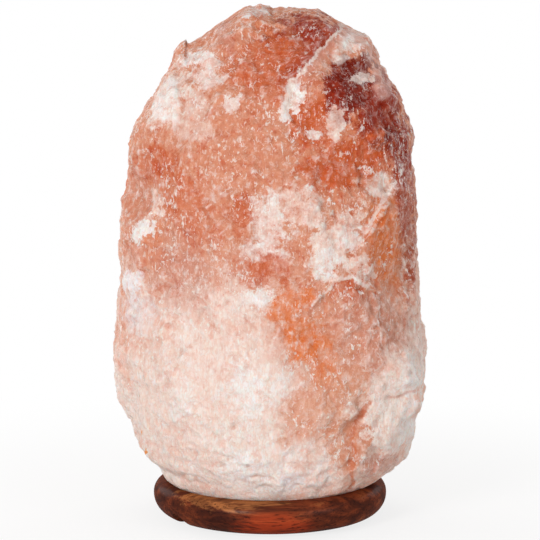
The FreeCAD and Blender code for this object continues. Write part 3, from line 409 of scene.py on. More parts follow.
def right_of_ridge(tree, x, z, rag):
    """How many millimetres a point is to the right of the ridge's line, a little ragged."""
    low, high = RIDGE[-1][1], RIDGE[0][1]
    widest = 40.0  # what 1 stands for in the ramp
    stops = [((height - low) / (high - low), (across / widest,) * 3)
             for across, height in reversed(RIDGE)]
    climb = math_node(tree, "MULTIPLY_ADD", z, 1.0 / ((high - low) * MM), -low / (high - low))
    line = times(tree, ramp(tree, climb, stops), -widest)
    offset = math_node(tree, "MULTIPLY_ADD", x, 1.0 / MM, line)
    return math_node(tree, "MULTIPLY_ADD", rag, RIDGE_RAG, offset)


def ridge_cliff(tree, at, rag, colour):
    """The crushed ridge: a ragged white line between deep red on its left and pink on its right."""
    x, y, z = (add(tree, "ShaderNodeSeparateXYZ", {"Vector": at}, axis) for axis in "XYZ")
    offset = right_of_ridge(tree, x, z, rag)
    low, high = RIDGE[-1][1], RIDGE[0][1]
    here = times(tree, step(tree, z, (high + 3) * MM, (high - 1) * MM),
                 step(tree, y, RIDGE_FRONT[0] * MM, RIDGE_FRONT[1] * MM))
    upper = times(tree, here, step(tree, z, RIDGE_SIDES[0] * MM, RIDGE_SIDES[1] * MM))
    whole = times(tree, here, step(tree, z, (low - 1) * MM, (low + 2) * MM))
    beside = step(tree, offset, -0.5, 0.5)
    pink = times(tree, share_of(tree, offset, *RIDGE_PINK_REACH, beside), upper)
    red = times(tree, share_of(tree, offset, *RIDGE_RED_REACH, upper),
                math_node(tree, "SUBTRACT", 1.0, beside))
    apart = math_node(tree, "ABSOLUTE", math_node(tree, "SUBTRACT", offset, RIDGE_LIP_MIDDLE))
    lip = share_of(tree, apart, *RIDGE_LIP_REACH, whole)
    tints = (RIDGE_RED, RIDGE_PINK, RIDGE_WHITE)
    for share, strength, tint in zip((red, pink, lip), RIDGE_STRENGTHS, tints):
        colour = mix(tree, times(tree, share, strength), colour, tint)
    return colour


def strokes(tree, at, size, lean, core, edge):
    """Short strokes: the crests of a noise, drawn out along a slanted direction.  Core and edge are
    how far from a crest, as a share of the noise, a stroke is full and ends."""
    slanted = add(tree, "ShaderNodeMapping", {
        "Vector": at, "Rotation": (0.0, math.radians(lean), 0.0), "Scale": (1.0, 1.0, 0.3)})
    wave = noise_node(tree, slanted, size, detail=2.0, roughness=0.5, distortion=0.2)
    apart = math_node(tree, "ABSOLUTE", math_node(tree, "SUBTRACT", wave, 0.5))
    return step(tree, apart, edge, core)


def zoned_colour(tree, at, warped, rag):
    """The broad colours of the salt, from its height, a cloud of orange and the painted zones."""
    height = add(tree, "ShaderNodeSeparateXYZ", {"Vector": warped}, "Z")
    low, high = (level * MM for level in GROUND_LEVELS)
    colour = mix(tree, step(tree, height, low, high), PALE, PEACH)
    cloud = noise_node(tree, at, size=34, detail=4.0, roughness=0.6)
    colour = mix(tree, step(tree, cloud, 0.48, 0.68, to_high=0.5), colour, VIVID)
    uneven = step(tree, signed_noise(tree, warped, size=7, detail=4.0, roughness=0.65),
                  -0.5, 0.4, to_low=0.7, to_high=1.15)
    for zones, depth in ((FRONT_ZONES, FRONT_DEPTH), (BACK_ZONES, BACK_DEPTH)):
        for tint, centre, half, tilt, strength, crisp in zones:
            mask = zone_mask(tree, warped, rag, centre, half, tilt, depth, crisp)
            mask = times(tree, mask, uneven)
            colour = mix(tree, times(tree, mask, strength), colour, tint)
    for centre, radius in SPECKS:
        middle = tuple(value * MM for value in centre)
        distance = vector_node(tree, "DISTANCE", at, middle)
        distance = math_node(tree, "MULTIPLY_ADD", rag, SPECK_RAG * MM, distance)
        begins, full = (radius * share * MM for share in SPECK_EDGE)
        mask = step(tree, distance, begins, full)
        colour = mix(tree, mask, colour, SPECK)
    return colour


def mottled(tree, colour, green, lively, warped, fine):
    """Milky crystals, fewer where the colour is dark, and deeper pits, broad and fine."""
    broad = signed_noise(tree, warped, size=11, detail=3.0, roughness=0.6)
    mottle = math_node(tree, "MULTIPLY_ADD", broad, 0.55, times(tree, fine, 0.6))
    milk = times(tree, lively, step(tree, green, 0.02, 0.40, to_low=0.10, to_high=0.45))
    colour = mix(tree, share_of(tree, mottle, 0.10, 0.85, milk), colour, WHITE)
    deep = times(tree, lively, 0.75)
    return mix(tree, share_of(tree, mottle, 0.0, -0.75, deep), colour, PITTED, "MULTIPLY")


def lined(tree, colour, warped, ragged, rag):
    """Pink along the rim, crushed white along creases and edges, the ridge and the orange seam."""
    crushed = step(tree, math_node(tree, "ADD", rag, 0.25), -0.2, 0.15)
    edges = None
    for line, width in WHITE_EDGES:
        band = line_mask(tree, ragged, line, width)
        edges = band if edges is None else math_node(tree, "MAXIMUM", edges, band)
    edges = times(tree, times(tree, edges, WHITE_STRENGTH), crushed)
    rim = times(tree, line_mask(tree, ragged, RIM, RIM_WIDTH), RIM_STRENGTH)
    colour = mix(tree, rim, colour, RIM_PINK)
    colour = mix(tree, edges, colour, MILKY)
    colour = ridge_cliff(tree, ragged, rag, colour)
    lump_line = times(tree, LUMP_LINE_SHARE, line_mask(tree, warped, LUMP_LINE, LUMP_LINE_WIDTH))
    seam = math_node(tree, "MAXIMUM", line_mask(tree, warped, SEAM, SEAM_WIDTH), lump_line)
    return mix(tree, times(tree, seam, SEAM_STRENGTH), colour, SEAM_ORANGE)


def bright_strokes(tree, at):
    """Long and short bright strokes, in patches and broken up, 1 on a stroke."""
    patch = step(tree, signed_noise(tree, at, size=13, detail=3.0, roughness=0.6),
                 -0.5, 0.5, to_low=0.25)
    breaks = step(tree, signed_noise(tree, at, size=2.2, detail=3.0, roughness=0.7), 0.0, 0.3)
    long_ones = strokes(tree, at, size=5.5, lean=35, core=0.006, edge=0.022)
    short_ones = strokes(tree, at, size=2.0, lean=-38, core=0.015, edge=0.05)
    return times(tree, math_node(tree, "MAXIMUM", long_ones, short_ones),
                 times(tree, patch, breaks))


def dark_strokes(tree, at):
    """Fine dark strokes two ways, 1 on a stroke."""
    return math_node(tree, "MAXIMUM", strokes(tree, at, size=1.7, lean=-40, core=0.02, edge=0.09),
                     strokes(tree, at, size=3.4, lean=20, core=0.008, edge=0.03))


def edge_highlight_and_crevice_shade(tree, colour, green):
    """Painted highlight: outer edges whitened, less so where the colour is dark; and painted shade:
    inner edges darkened.
    """
    bend = add(tree, "ShaderNodeNewGeometry", output="Pointiness")
    most = step(tree, green, 0.02, 0.25, to_low=0.3, to_high=0.6)
    colour = mix(tree, share_of(tree, bend, 0.51, 0.58, most), colour, WHITE)
    return mix(tree, step(tree, bend, 0.49, 0.43, to_high=0.6), colour, CREVICE_SHADE, "MULTIPLY")


def rock_salt():
    """Mottled pink rock salt: zones of colour, milky crystals and deeper pits in between, crushed
    white edges and fine bright strokes."""
    material, tree = new_material("rock_salt")
    at = place(tree)
    coarse = moved_about(tree, at, at, size=24, detail=3.0, roughness=0.6, amount=10)
    warped = moved_about(tree, coarse, at, size=6, detail=4.0, roughness=0.65, amount=6)
    ragged = moved_about(tree, at, at, size=3.5, detail=4.0, roughness=0.65, amount=4)
    rag = signed_noise(tree, ragged, size=6, detail=5.0, roughness=0.7)
    fine = signed_noise(tree, ragged, size=3.2, detail=5.0, roughness=0.75)

    # the lower part is clearer and evener than the upper
    height = add(tree, "ShaderNodeSeparateXYZ", {"Vector": coarse}, "Z")
    low, high = (level * MM for level in LIVELY_LEVELS)
    lively = step(tree, height, low, high, to_low=0.5)

    colour = zoned_colour(tree, at, warped, rag)
    green = add(tree, "ShaderNodeSeparateColor", {"Color": colour}, "Green")
    colour = mottled(tree, colour, green, lively, warped, fine)
    colour = lined(tree, colour, warped, ragged, rag)
    bright = bright_strokes(tree, at)
    colour = mix(tree, times(tree, bright, BRIGHT_STRENGTH), colour, MILKY)
    dark = dark_strokes(tree, at)
    colour = mix(tree, times(tree, dark, DARK_STRENGTH), colour, HATCHED, "MULTIPLY")
    # painted highlight on outer edges and painted shade in inner edges, from how sharply the surface
    # bends
    colour = edge_highlight_and_crevice_shade(tree, colour, green)

    # bump: grain and fine crystals, bright strokes raised and dark ones sunk
    grain = signed_noise(tree, ragged, size=4.5, detail=7.0, roughness=0.7)
    relief = math_node(tree, "MULTIPLY_ADD", grain, 0.6, times(tree, bright, 0.25))
    relief = math_node(tree, "MULTIPLY_ADD", fine, 0.2, relief)
    relief = math_node(tree, "MULTIPLY_ADD", dark, -0.12, relief)
    gloss = noise_node(tree, at, size=3, detail=4.0, roughness=0.6)
    surface(
        tree, Base_Color=colour, IOR=1.54,
        Roughness=step(tree, gloss, 0.35, 0.65, to_low=0.20, to_high=0.50),
        Specular_IOR_Level=step(tree, fine, 0.25, 0.5, to_low=0.04, to_high=0.5),
        Subsurface_Weight=0.4, Subsurface_Radius=(1.0, 0.6, 0.45), Subsurface_Scale=2.8 * MM,
        Normal=bump(tree, relief, distance=1.5, strength=0.8))
    return material


# ---------------------------------------------------------------------------------------------
# Rock salt: shape
# ---------------------------------------------------------------------------------------------

VOXEL = 1.15  # mesh size of the block, mm
SMOOTHINGS = 60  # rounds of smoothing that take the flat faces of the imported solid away

# What stays as packed, mm: the foot, and all within these radii, the bore and, lower down, the plug
# holes round it
FOOT_TOP = 17.6
SKIN_FULL = 26.0  # height from which the outside is hewn in full
BORE_RADIUS = 24.5
BORE_TOP = 150
PLUGS_RADIUS = 38.0
PLUGS_TOP = 45

# Outline of the block against the background, left and right: height, distance from the axis, mm
LEFT_OUTLINE = [
    (20, 49.5), (24, 49.5), (28, 57.5), (30, 60), (42, 63.5), (49, 65.5), (56, 68.5), (75, 70.7),
    (93, 69.2), (111, 67.4), (129, 67.5), (138, 67.8), (147, 65), (156, 63), (174, 62.5),
    (183, 57.5), (188, 54.7), (192, 52.3), (196, 50.2), (200, 46.8), (205, 43.8), (209, 44.3),
    (214, 40), (218, 38.5), (221, 32), (223, 22), (228, 8)]
RIGHT_OUTLINE = [
    (20, 55.3), (24, 59.5), (30, 62.8), (42, 66.2), (49, 66), (56, 69.5), (66, 70), (75, 71),
    (84, 70.6), (93, 67.8), (102, 68.8), (111, 67.3), (129, 65.5), (138, 66.5), (147, 65.3),
    (156, 64.7), (165, 62.7), (174, 64.7), (183, 60.2), (188, 58.5), (192, 58.5), (196, 55.6),
    (200, 52.5), (205, 50.9), (209, 48.2), (214, 47.5), (218, 45.5), (221, 37.8), (223, 33.4),
    (228, 18.5)]

# Outline of its top: distance to the right of the axis, height, mm
TOP_OUTLINE = [
    (-34, 214), (-27, 218.5), (-20, 223.5), (-14, 227.5), (-9, 230.3), (-2, 230.2), (1, 228.4),
    (5, 229), (14, 228.6), (21, 228.2), (27, 225.5), (33, 221.5), (38, 218.5)]

OUTLINE_STEP, OUTLINE_BAND = 4.0, 3.0  # spacing of the heights compared, and how far each looks
TOP_STEP, TOP_BAND = 2.5, 1.8  # the same across the top
TOP_MARGIN = 3.0  # how far past its last points the top's outline reaches
TOP_FADE = (198.0, 224.0)  # heights at which the fit of the top begins and is full
BEYOND_CAD = 1.0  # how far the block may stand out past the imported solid's box, mm

# Swellings and hollows of the front face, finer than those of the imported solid: centre x and z,
# half width and half height, tilt, height, mm
FRONT_FORMS = [
    ((38, 205), (12, 7), 20, -2.2),
    ((20, 196), (7, 14), -25, 1.0),
    ((31, 163), (16, 10), 14, -1.8),
    ((30, 134), (12, 10), 30, 1.4),
    ((-13, 143), (5, 7), 0, -1.6),
    ((-54, 133), (4, 8), -35, 1.2),
    ((-36, 194), (12, 16), -20, 1.0),
    ((61, 69), (9, 12), 0, 1.8),
    ((55, 45), (11, 12), 10, 1.8),
    ((-8, 66), (14, 9), 25, 1.4),
    ((-5, 47), (15, 9), 0, -1.0),
    ((34, 105), (13, 12), 0, 1.2),
]

# How far each line stands out or sinks, its width, and how far the surface rises on its left, going
# along its points, and falls on its right, mm
LINE_FORMS = [
    (RIDGE, 0.5, 1.6, -1.0),
    (RIM, 1.2, 3.5, 0.0),
    (CREASE, 0.6, 1.5, -1.0),
    (FLANK, 0.6, 1.4, 1.4),
    (ARC, 0.8, 1.2, 1.0),
    (SCAR, -0.9, 1.2, 0.0),
    (SEAM, -0.8, 1.6, 0.8),
    (LUMP_LINE, -1.2, 1.8, 0.0),
]
LINE_DROP_FROM = 1.5  # how far from a line its rise and fall are full, mm
LINE_DROP_REACH = 8.0  # and over what distance they fade out, mm
FORM_SHARPNESS = 1.2  # how fast a form falls off from its middle
FACING = (0.05, 0.6)  # how far to the front a face must look for forms to begin and be full, 0 to 1

# Flat facets: height, width, softness of their edges, and a shift that gives each its own pattern
FACETS = [(1.1, 13.0, 0.12, 100.0), (0.8, 5.5, 0.2, 200.0)]
FACET_SLANT = 2.0  # how steep the facets are

# Grain: height, width, octaves and shift
GRAIN = [(0.8, 12.0, 4, 0.0), (0.5, 3.2, 3, 300.0)]
OCTAVE_STEP = 2.1  # how many times finer each octave of the grain is than the one before
OCTAVE_FALL = 0.9  # and how much weaker: by that step to this power

# Chips out of the lower edge: height, width and radius of the edge, and where they begin and are
# full, in reach from the axis and in height, mm
CHIP_HEIGHT = 2.4
CHIP_WIDTH = 6.0
CHIP_RING = 48.0
CHIP_REACH = (45.5, 48.0)
CHIP_LEVELS = (27.0, 18.5)
CHIP_BIAS = 0.1  # above 0, more than half of the edge is chipped


def smooth(value, low, high):
    """A smooth step from 0 at low to 1 at high, for an array."""
    share = np.clip((value - low) / (high - low), 0.0, 1.0)
    return share * share * (3.0 - 2.0 * share)


def form_share(points, centre, half, tilt):
    """How far each point is inside a soft ellipse on the front face, 1 in its middle."""
    angle = math.radians(tilt)
    x = points[:, 0] - centre[0]
    z = points[:, 2] - centre[1]
    across = (x * math.cos(angle) + z * math.sin(angle)) / half[0]
    along = (z * math.cos(angle) - x * math.sin(angle)) / half[1]
    return np.exp(-(across ** 2 + along ** 2) * FORM_SHARPNESS)


def line_distance(points, line):
    """The distance of each point from a line of points on the front face, and its side."""
    nearest = np.full(len(points), 1e9)
    side = np.zeros(len(points))
    flat = points[:, (0, 2)]
    for start, end in zip(np.array(line[:-1], float), np.array(line[1:], float)):
        run = end - start
        share = np.clip((flat - start) @ run / (run @ run), 0.0, 1.0)
        offset = flat - (start + share[:, None] * run)
        distance = np.hypot(offset[:, 0], offset[:, 1])
        closer = distance < nearest
        nearest = np.where(closer, distance, nearest)
        side = np.where(closer, np.sign(run[0] * offset[:, 1] - run[1] * offset[:, 0]), side)
    return nearest, side


def cell_facets(points, size, soft):
    """Flat facets about that many millimetres wide, each at its own slant, up to about 1 high."""
    heights = np.empty(len(points))
    for index, point in enumerate(points):
        distances, centres = noise.voronoi(Vector(point) / size, distance_metric="DISTANCE")
        tilts = [noise.cell_vector(centre) - Vector((0.5, 0.5, 0.5)) for centre in centres[:2]]
        rises = [(Vector(point) / size - centre).dot(tilt) * FACET_SLANT + tilt.z
                 for centre, tilt in zip(centres, tilts)]
        share = min(1.0, (distances[1] - distances[0]) / soft)
        share = 0.5 + 0.5 * share * share * (3.0 - 2.0 * share)
        heights[index] = rises[0] * share + rises[1] * (1.0 - share)
    return heights


def rough_noise(points, size, octaves):
    """Fractal noise about that many millimetres wide."""
    return np.array([noise.fractal(Vector(point) / size, OCTAVE_FALL, OCTAVE_STEP, octaves)
                     for point in points])


def outline_scale(points, outline, side):
    """How much wider the block is to be at each point's height, for the outline on one side."""
    heights, reaches = np.array(outline, float).T
    levels = np.arange(heights[0], heights[-1] + 1.0, OUTLINE_STEP)
    actual = np.array([np.max(points[np.abs(points[:, 2] - level) < OUTLINE_BAND, 0] * side)
                       for level in levels])
    ratio = np.interp(levels, heights, reaches) / actual
    # evened out with the heights above and below
    padded = np.concatenate((ratio[:1], ratio, ratio[-1:]))
    ratio = (padded[:-2] + padded[2:] + 2.0 * ratio) / 4.0
    return np.interp(points[:, 2], levels, ratio)


def top_lift(points, outline):
    """How far the block's top is to rise at each point, for its outline from the front."""
    across, heights = np.array(outline, float).T
    levels = np.arange(across[0], across[-1] + 1.0, TOP_STEP)
    actual = np.array([np.max(points[np.abs(points[:, 0] - level) < TOP_BAND, 2])
                       for level in levels])
    lift = np.interp(levels, across, heights) - actual
    beyond = ((points[:, 0] < levels[0] - TOP_MARGIN)
              | (points[:, 0] > levels[-1] + TOP_MARGIN))
    lift = np.where(beyond, 0.0, np.interp(points[:, 0], levels, lift))
    return lift * smooth(points[:, 2], *TOP_FADE)


def apply_modifier(piece, kind, **settings):
    """Gives a piece the mesh that a modifier makes of it."""
    modifier = piece.modifiers.new(kind.lower(), kind)
    for name, value in settings.items():
        setattr(modifier, name, value)
    bpy.context.view_layer.update()
    ready = piece.evaluated_get(bpy.context.evaluated_depsgraph_get())
    mesh = bpy.data.meshes.new_from_object(ready)
    piece.modifiers.clear()
    piece.data = mesh


def rows_of(items, name):
    """The vectors of a mesh's vertices or normals, one row each."""
    flat = np.empty(len(items) * 3)
    items.foreach_get(name, flat)
    return flat.reshape(-1, 3)


def skin_share(points):
    """1 on the hewn outside of the block, 0 on its foot, in its bore and in its plug holes."""
    radius = np.hypot(points[:, 0], points[:, 1])
    kept = np.where(points[:, 2] < PLUGS_TOP, PLUGS_RADIUS, BORE_RADIUS)
    outside = (radius > kept) | (points[:, 2] > BORE_TOP)
    return np.where(outside, smooth(points[:, 2], FOOT_TOP, SKIN_FULL), 0.0)


def smooth_skin(piece, skin):
    """Evens out the outside of the block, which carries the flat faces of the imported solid."""
    group = piece.vertex_groups.new(name="skin")
    for index in np.nonzero(skin > 0)[0]:
        group.add([int(index)], float(skin[index]), "REPLACE")
    apply_modifier(piece, "SMOOTH", factor=0.5, iterations=SMOOTHINGS, vertex_group=group.name)
    piece.vertex_groups.clear()


def hewn_rise(points, normals):
    """How far each point rises: forms and lines of the front, then facets, then grain."""
    facing = smooth(-normals[:, 1], *FACING)
    rise = np.zeros(len(points))
    for centre, half, tilt, height in FRONT_FORMS:
        rise += form_share(points, centre, half, tilt) * height * facing
    for line, height, width, drop in LINE_FORMS:
        distance, side = line_distance(points, line)
        rise += np.exp(-(distance / width) ** 2) * height * facing
        rise += (drop * side * np.exp(-distance / LINE_DROP_REACH)
                 * smooth(distance, 0.0, LINE_DROP_FROM) * facing)
    for height, size, soft, shift in FACETS:
        rise += height * cell_facets(points + shift, size, soft)
    for height, size, octaves, shift in GRAIN:
        rise += height * rough_noise(points + shift, size, octaves)
    return rise


def edge_chips(points):
    """How far the lower edge is chipped away upwards, where the block overhangs the wood."""
    turn = np.arctan2(points[:, 1], points[:, 0])
    ring = np.stack((np.cos(turn), np.sin(turn), turn * 0), 1) * CHIP_RING
    teeth = np.clip(rough_noise(ring, CHIP_WIDTH, 4) + CHIP_BIAS, 0.0, 1.0)
    reach = np.hypot(points[:, 0], points[:, 1])
    return CHIP_HEIGHT * teeth * smooth(reach, *CHIP_REACH) * smooth(points[:, 2], *CHIP_LEVELS)


def fit_outline(points, skin):
    """Draws the sides and the top to the outline of the photograph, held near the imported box."""
    scale = np.where(points[:, 0] < 0, outline_scale(points, LEFT_OUTLINE, -1),
                     outline_scale(points, RIGHT_OUTLINE, 1))
    points[:, 0] *= 1.0 + (scale - 1.0) * skin
    points[:, 2] += top_lift(points, TOP_OUTLINE) * skin
    low = np.array(salt_low) / MM - (BEYOND_CAD, BEYOND_CAD, 0.0)
    high = np.array(salt_high) / MM + BEYOND_CAD
    return np.clip(points, low, high)


def salt_block():
    """The block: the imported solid, evened out, then hewn by forms, facets, grain and chips."""
    piece = bpy.data.objects.new("salt_block", nodes["salt_crystal"].data.copy())
    scene.collection.objects.link(piece)
    apply_modifier(piece, "REMESH", mode="VOXEL", voxel_size=VOXEL * MM)
    skin = skin_share(rows_of(piece.data.vertices, "co") / MM)
    smooth_skin(piece, skin)

    mesh = piece.data
    points = rows_of(mesh.vertices, "co") / MM
    normals = rows_of(mesh.vertex_normals, "vector")
    hewn = np.nonzero(skin > 0)[0]
    rise = hewn_rise(points[hewn], normals[hewn])
    points[hewn] += normals[hewn] * (rise * skin[hewn])[:, None]
    points[:, 2] += edge_chips(points)
    points = fit_outline(points, skin)
    mesh.vertices.foreach_set("co", (points * MM).ravel())
    mesh.polygons.foreach_set("use_smooth", [True] * len(mesh.polygons))
    mesh.update()

    mesh.materials.clear()
    mesh.materials.append(rock_salt())
    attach(piece, "lamp")
    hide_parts("salt_crystal")


# ---------------------------------------------------------------------------------------------
# Wood
# ---------------------------------------------------------------------------------------------

# Colours of the figure of the wood, linear, by the value of its noise
WOOD_FIGURE = [
    (0.30, (0.026, 0.007, 0.005)), (0.45, (0.075, 0.017, 0.008)),
    (0.58, (0.16, 0.034, 0.013)), (0.75, (0.27, 0.080, 0.026))]
# golden: partly a lighter stain, partly a painted highlight on the lit top of the rim
WOOD_GOLD_AND_HIGHLIGHT = (0.37, 0.135, 0.045)
# red: a painted glow of light low on the front of the wood
WOOD_RED_GLOW = (0.38, 0.045, 0.013)
WOOD_DARK = (0.045, 0.012, 0.008)
WOOD_PORE = (0.022, 0.007, 0.005)

# The golden band along the rim, partly a lighter stain and partly a painted highlight on the lit top
# of the rim, and the
# redder patch, a painted glow of light: centre and half size in x and z, tilt, then the middle and
# reach in y, mm
GOLD_AND_HIGHLIGHT_BAND = ((-22, 17.5), (22, 4.5), 0, (-46, 26))
RED_GLOW_PATCH = ((1, 6), (16, 6), 0, (-50, 18))


def varnished_wood():
    """Stained and varnished wood: grain along X, dark pores, a golden band along the rim at the left
    that is partly a lighter stain and partly a painted highlight on the lit top of the rim, and a
    redder patch low at the front that is a painted glow of light."""
    material, tree = new_material("varnished_wood")
    at = place(tree)
    along = add(tree, "ShaderNodeMapping", {"Vector": at, "Scale": (0.07, 0.6, 1.0)})
    figure = noise_node(tree, along, size=5, detail=5.0, roughness=0.65, distortion=0.6)
    streaks = signed_noise(tree, along, size=2.2, detail=4.0, roughness=0.7)
    colour = ramp(tree, figure, WOOD_FIGURE)
    # golden band: partly a lighter stain, partly a painted highlight where light falls on the rim's
    # top
    gold_and_highlight = zone_mask(tree, at, streaks, *GOLD_AND_HIGHLIGHT_BAND, crisp=0.4)
    gold_and_highlight = times(tree, gold_and_highlight, step(tree, figure, 0.35, 0.6, to_low=0.35, to_high=0.9))
    colour = mix(tree, gold_and_highlight, colour, WOOD_GOLD_AND_HIGHLIGHT)
    # redder patch low at the front: a painted glow of light
    glow = zone_mask(tree, at, streaks, *RED_GLOW_PATCH)
    colour = mix(tree, times(tree, glow, 0.6), colour, WOOD_RED_GLOW)
    dark = step(tree, streaks, 0.1, 0.6, to_high=0.55)
    colour = mix(tree, dark, colour, WOOD_DARK)
    fine = add(tree, "ShaderNodeMapping", {"Vector": at, "Scale": (0.09, 1.0, 1.0)})
    pore = step(tree, noise_node(tree, fine, size=0.7, detail=2.0, roughness=0.6), 0.54, 0.68)
    colour = mix(tree, times(tree, pore, 0.75), colour, WOOD_PORE)
    smear = noise_node(tree, at, size=3, detail=4.0, roughness=0.6)
    relief = math_node(tree, "SUBTRACT", figure, pore)
    surface(
        tree, Base_Color=colour, Roughness=step(tree, smear, 0.3, 0.7, to_low=0.26, to_high=0.46),
        Specular_IOR_Level=0.0, Coat_Weight=0.08, Coat_Roughness=0.25,
        Normal=bump(tree, relief, distance=0.12, strength=0.5))
    return material


# ---------------------------------------------------------------------------------------------
# Fittings
# ---------------------------------------------------------------------------------------------

# Metals by slot: colour, size of the fine marks in mm, roughness, colour where worn or tarnished
METALS = {
    "zinc_steel": ((0.62, 0.62, 0.58), 0.8, 0.34, (0.48, 0.47, 0.42)),
    "spring_steel": ((0.50, 0.50, 0.50), 1.0, 0.28, (0.36, 0.33, 0.30)),
    "brass": ((0.78, 0.56, 0.24), 0.9, 0.28, (0.50, 0.33, 0.15)),
    "nickel_cap": ((0.70, 0.67, 0.60), 0.9, 0.2, (0.55, 0.50, 0.42)),
    "solder": ((0.60, 0.60, 0.60), 1.2, 0.4, (0.42, 0.42, 0.42)),
    "tungsten": ((0.30, 0.30, 0.31), 0.4, 0.4, (0.18, 0.18, 0.19)),
}

# Moulded pieces by slot: colour, colour where scuffed, roughness, size of the grain in mm
MOULDED = {
    "foot_rubber": ((0.03, 0.03, 0.03), (0.07, 0.07, 0.07), 0.7, 0.6),
    "black_phenolic": ((0.018, 0.016, 0.015), (0.05, 0.045, 0.04), 0.3, 0.9),
    "black_nylon": ((0.025, 0.025, 0.026), (0.06, 0.06, 0.06), 0.5, 0.5),
    "grey_nylon": ((0.32, 0.32, 0.33), (0.42, 0.42, 0.42), 0.5, 0.5),
    "black_glass": ((0.012, 0.012, 0.02), (0.03, 0.03, 0.04), 0.12, 2.0),
}


def brushed_metal(name, colour, size, roughness, worn):
    """Metal with fine marks and slightly worn or tarnished patches."""
    material, tree = new_material(name)
    at = place(tree)
    drawn = add(tree, "ShaderNodeMapping", {"Vector": at, "Scale": (1, 1, 6)})
    marks = noise_node(tree, drawn, size, detail=4.0, roughness=0.7)
    patches = noise_node(tree, at, size=5, detail=4.0, roughness=0.6)
    tint = mix(tree, step(tree, patches, 0.4, 0.7, to_high=0.6), colour, worn)
    surface(
        tree, Base_Color=tint, Metallic=1.0,
        Roughness=step(tree, marks, 0.3, 0.7, to_low=roughness * 0.7, to_high=roughness * 1.4),
        Normal=bump(tree, marks, distance=0.02, strength=0.4))
    return material


def moulded(name, colour, worn, roughness, grain):
    """Moulded plastic or rubber with a fine grain and scuffs."""
    material, tree = new_material(name)
    at = place(tree)
    scuff = noise_node(tree, at, size=6, detail=5.0, roughness=0.65)
    tint = mix(tree, step(tree, scuff, 0.5, 0.75, to_high=0.6), colour, worn)
    pitted = noise_node(tree, at, grain, detail=3.0, roughness=0.6)
    surface(
        tree, Base_Color=tint,
        Roughness=step(tree, scuff, 0.3, 0.7, to_low=roughness * 0.8, to_high=roughness * 1.3),
        Normal=bump(tree, pitted, distance=0.06, strength=0.5))
    return material


def clear_glass():
    """Thin clear glass with faint waves."""
    material, tree = new_material("clear_glass")
    at = place(tree)
    waves = noise_node(tree, at, size=9, detail=2.0, roughness=0.5)
    surface(
        tree, Base_Color=(0.96, 0.98, 0.98), IOR=1.5, Transmission_Weight=1.0,
        Roughness=step(tree, waves, 0.3, 0.7, to_high=0.05),
        Normal=bump(tree, waves, distance=0.05, strength=0.3))
    return material


def dress_fittings():
    """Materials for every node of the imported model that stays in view."""
    materials = {"varnished_wood": varnished_wood(), "clear_glass": clear_glass()}
    for slot, look in METALS.items():
        materials[slot] = brushed_metal(slot, *look)
    for slot, look in MOULDED.items():
        materials[slot] = moulded(slot, *look)
    for part in frame["record"]["subparts"]:
        if part["material_slot"] in materials:
            dress(part["node"], materials[part["material_slot"]])


# ---------------------------------------------------------------------------------------------
# Floor, light and camera
# ---------------------------------------------------------------------------------------------

WHITE_LIGHT = (1.0, 1.0, 1.0)
SOFT_LIGHT = (1.0, 0.98, 0.96)  # colour of the light from all round
SOFT_STRENGTH = 0.38
FLOOR_HALF = 3.0  # metres
FLOOR_COLOUR = (0.80, 0.79, 0.78)
FLOOR_WHITE = (0.08, 0.3, 0.8, 1.0)  # from and to, in metres from the axis, and how white it shows

# Lamps: name, place in metres, width in metres, power in watts
LAMPS = [
    ("key", (-0.6, -1.0, 0.45), 0.4, 11.5),
    ("fill", (0.9, -0.8, 0.2), 0.6, 5.0),
    ("top", (0.0, 0.1, 1.0), 0.6, 1.6),
    ("back_left", (-0.7, 0.7, 0.4), 0.5, 3.5),
    ("back_right", (0.7, 0.7, 0.4), 0.5, 2.5),
]
LAMP_AIM = (0.0, 0.0, 0.11)  # metres

CAMERA_DISTANCE = 1.2  # metres from the target to the camera
CAMERA_ELEVATION = 8.5  # degrees above the horizontal
TARGET_HEIGHT = 0.1115  # metres
FOCAL_LENGTH = 179.0  # mm, on a 36 mm sensor


def seen_directly(tree):
    """1 where the camera sees the surface itself, or through glass or in a reflection."""
    rays = tree.nodes.new("ShaderNodeLightPath")
    seen = math_node(tree, "MAXIMUM", rays.outputs["Is Camera Ray"], rays.outputs["Is Glossy Ray"])
    return math_node(tree, "MAXIMUM", seen, rays.outputs["Is Transmission Ray"])


def surround():
    """A plain surround that lights softly and shows as white."""
    world = bpy.data.worlds.new("studio")
    world.use_nodes = True
    scene.world = world
    tree = world.node_tree
    tree.nodes.clear()
    soft = add(tree, "ShaderNodeBackground", {"Color": SOFT_LIGHT, "Strength": SOFT_STRENGTH})
    white = add(tree, "ShaderNodeBackground", {"Color": WHITE_LIGHT, "Strength": 1.0})
    shown = add(tree, "ShaderNodeMixShader", {0: seen_directly(tree), 1: soft, 2: white})
    output = tree.nodes.new("ShaderNodeOutputWorld")
    tree.links.new(shown, output.inputs["Surface"])


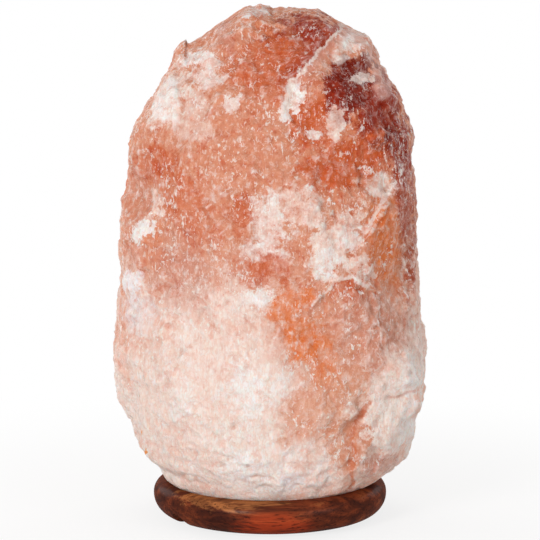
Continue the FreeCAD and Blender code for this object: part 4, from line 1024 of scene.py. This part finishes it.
def pale_floor():
    """A pale floor, which shows as white apart from the lamp's shadow.  From below it can't be
    seen, so a fitting that is pulled down through it can."""
    mesh = bpy.data.meshes.new("floor")
    mesh.from_pydata([(-FLOOR_HALF, -FLOOR_HALF, 0), (FLOOR_HALF, -FLOOR_HALF, 0),
                      (FLOOR_HALF, FLOOR_HALF, 0), (-FLOOR_HALF, FLOOR_HALF, 0)], [],
                     [(0, 1, 2, 3)])
    floor = bpy.data.objects.new("floor", mesh)
    scene.collection.objects.link(floor)
    material, tree = new_material("pale_floor")
    paper = add(tree, "ShaderNodeBsdfDiffuse", {"Color": FLOOR_COLOUR})
    glow = add(tree, "ShaderNodeEmission", {"Color": WHITE_LIGHT, "Strength": 1.0})
    away = vector_node(tree, "LENGTH", place(tree))
    share = times(tree, seen_directly(tree), step(tree, away, *FLOOR_WHITE))
    shown = add(tree, "ShaderNodeMixShader", {0: share, 1: paper, 2: glow})
    below = add(tree, "ShaderNodeNewGeometry", output="Backfacing")
    clear = add(tree, "ShaderNodeBsdfTransparent")
    shown = add(tree, "ShaderNodeMixShader", {0: below, 1: shown, 2: clear})
    output = tree.nodes.new("ShaderNodeOutputMaterial")
    tree.links.new(shown, output.inputs["Surface"])
    mesh.materials.append(material)


def softbox(name, place_at, size, power):
    """A square area light aimed at the lamp."""
    light = bpy.data.lights.new(name, "AREA")
    light.shape = "SQUARE"
    light.size = size
    light.energy = power
    lamp = bpy.data.objects.new(name, light)
    lamp.location = place_at
    aim = Vector(LAMP_AIM) - Vector(place_at)
    lamp.rotation_euler = aim.to_track_quat("-Z", "Y").to_euler()
    scene.collection.objects.link(lamp)


def camera():
    """The camera at the photograph's place."""
    data = bpy.data.cameras.new("camera")
    data.lens = FOCAL_LENGTH
    data.sensor_width = 36.0
    data.clip_start = 0.05
    data.clip_end = 20.0
    eye = bpy.data.objects.new("camera", data)
    tilt = math.radians(CAMERA_ELEVATION)
    eye.location = (0.0, -CAMERA_DISTANCE * math.cos(tilt),
                    TARGET_HEIGHT + CAMERA_DISTANCE * math.sin(tilt))
    eye.rotation_euler = (math.radians(90.0) - tilt, 0.0, 0.0)
    scene.collection.objects.link(eye)
    scene.camera = eye


# ---------------------------------------------------------------------------------------------
# Build
# ---------------------------------------------------------------------------------------------

salt_block()
dress_fittings()
surround()
pale_floor()
for lamp_settings in LAMPS:
    softbox(*lamp_settings)
camera()
scene.view_settings.view_transform = "Standard"
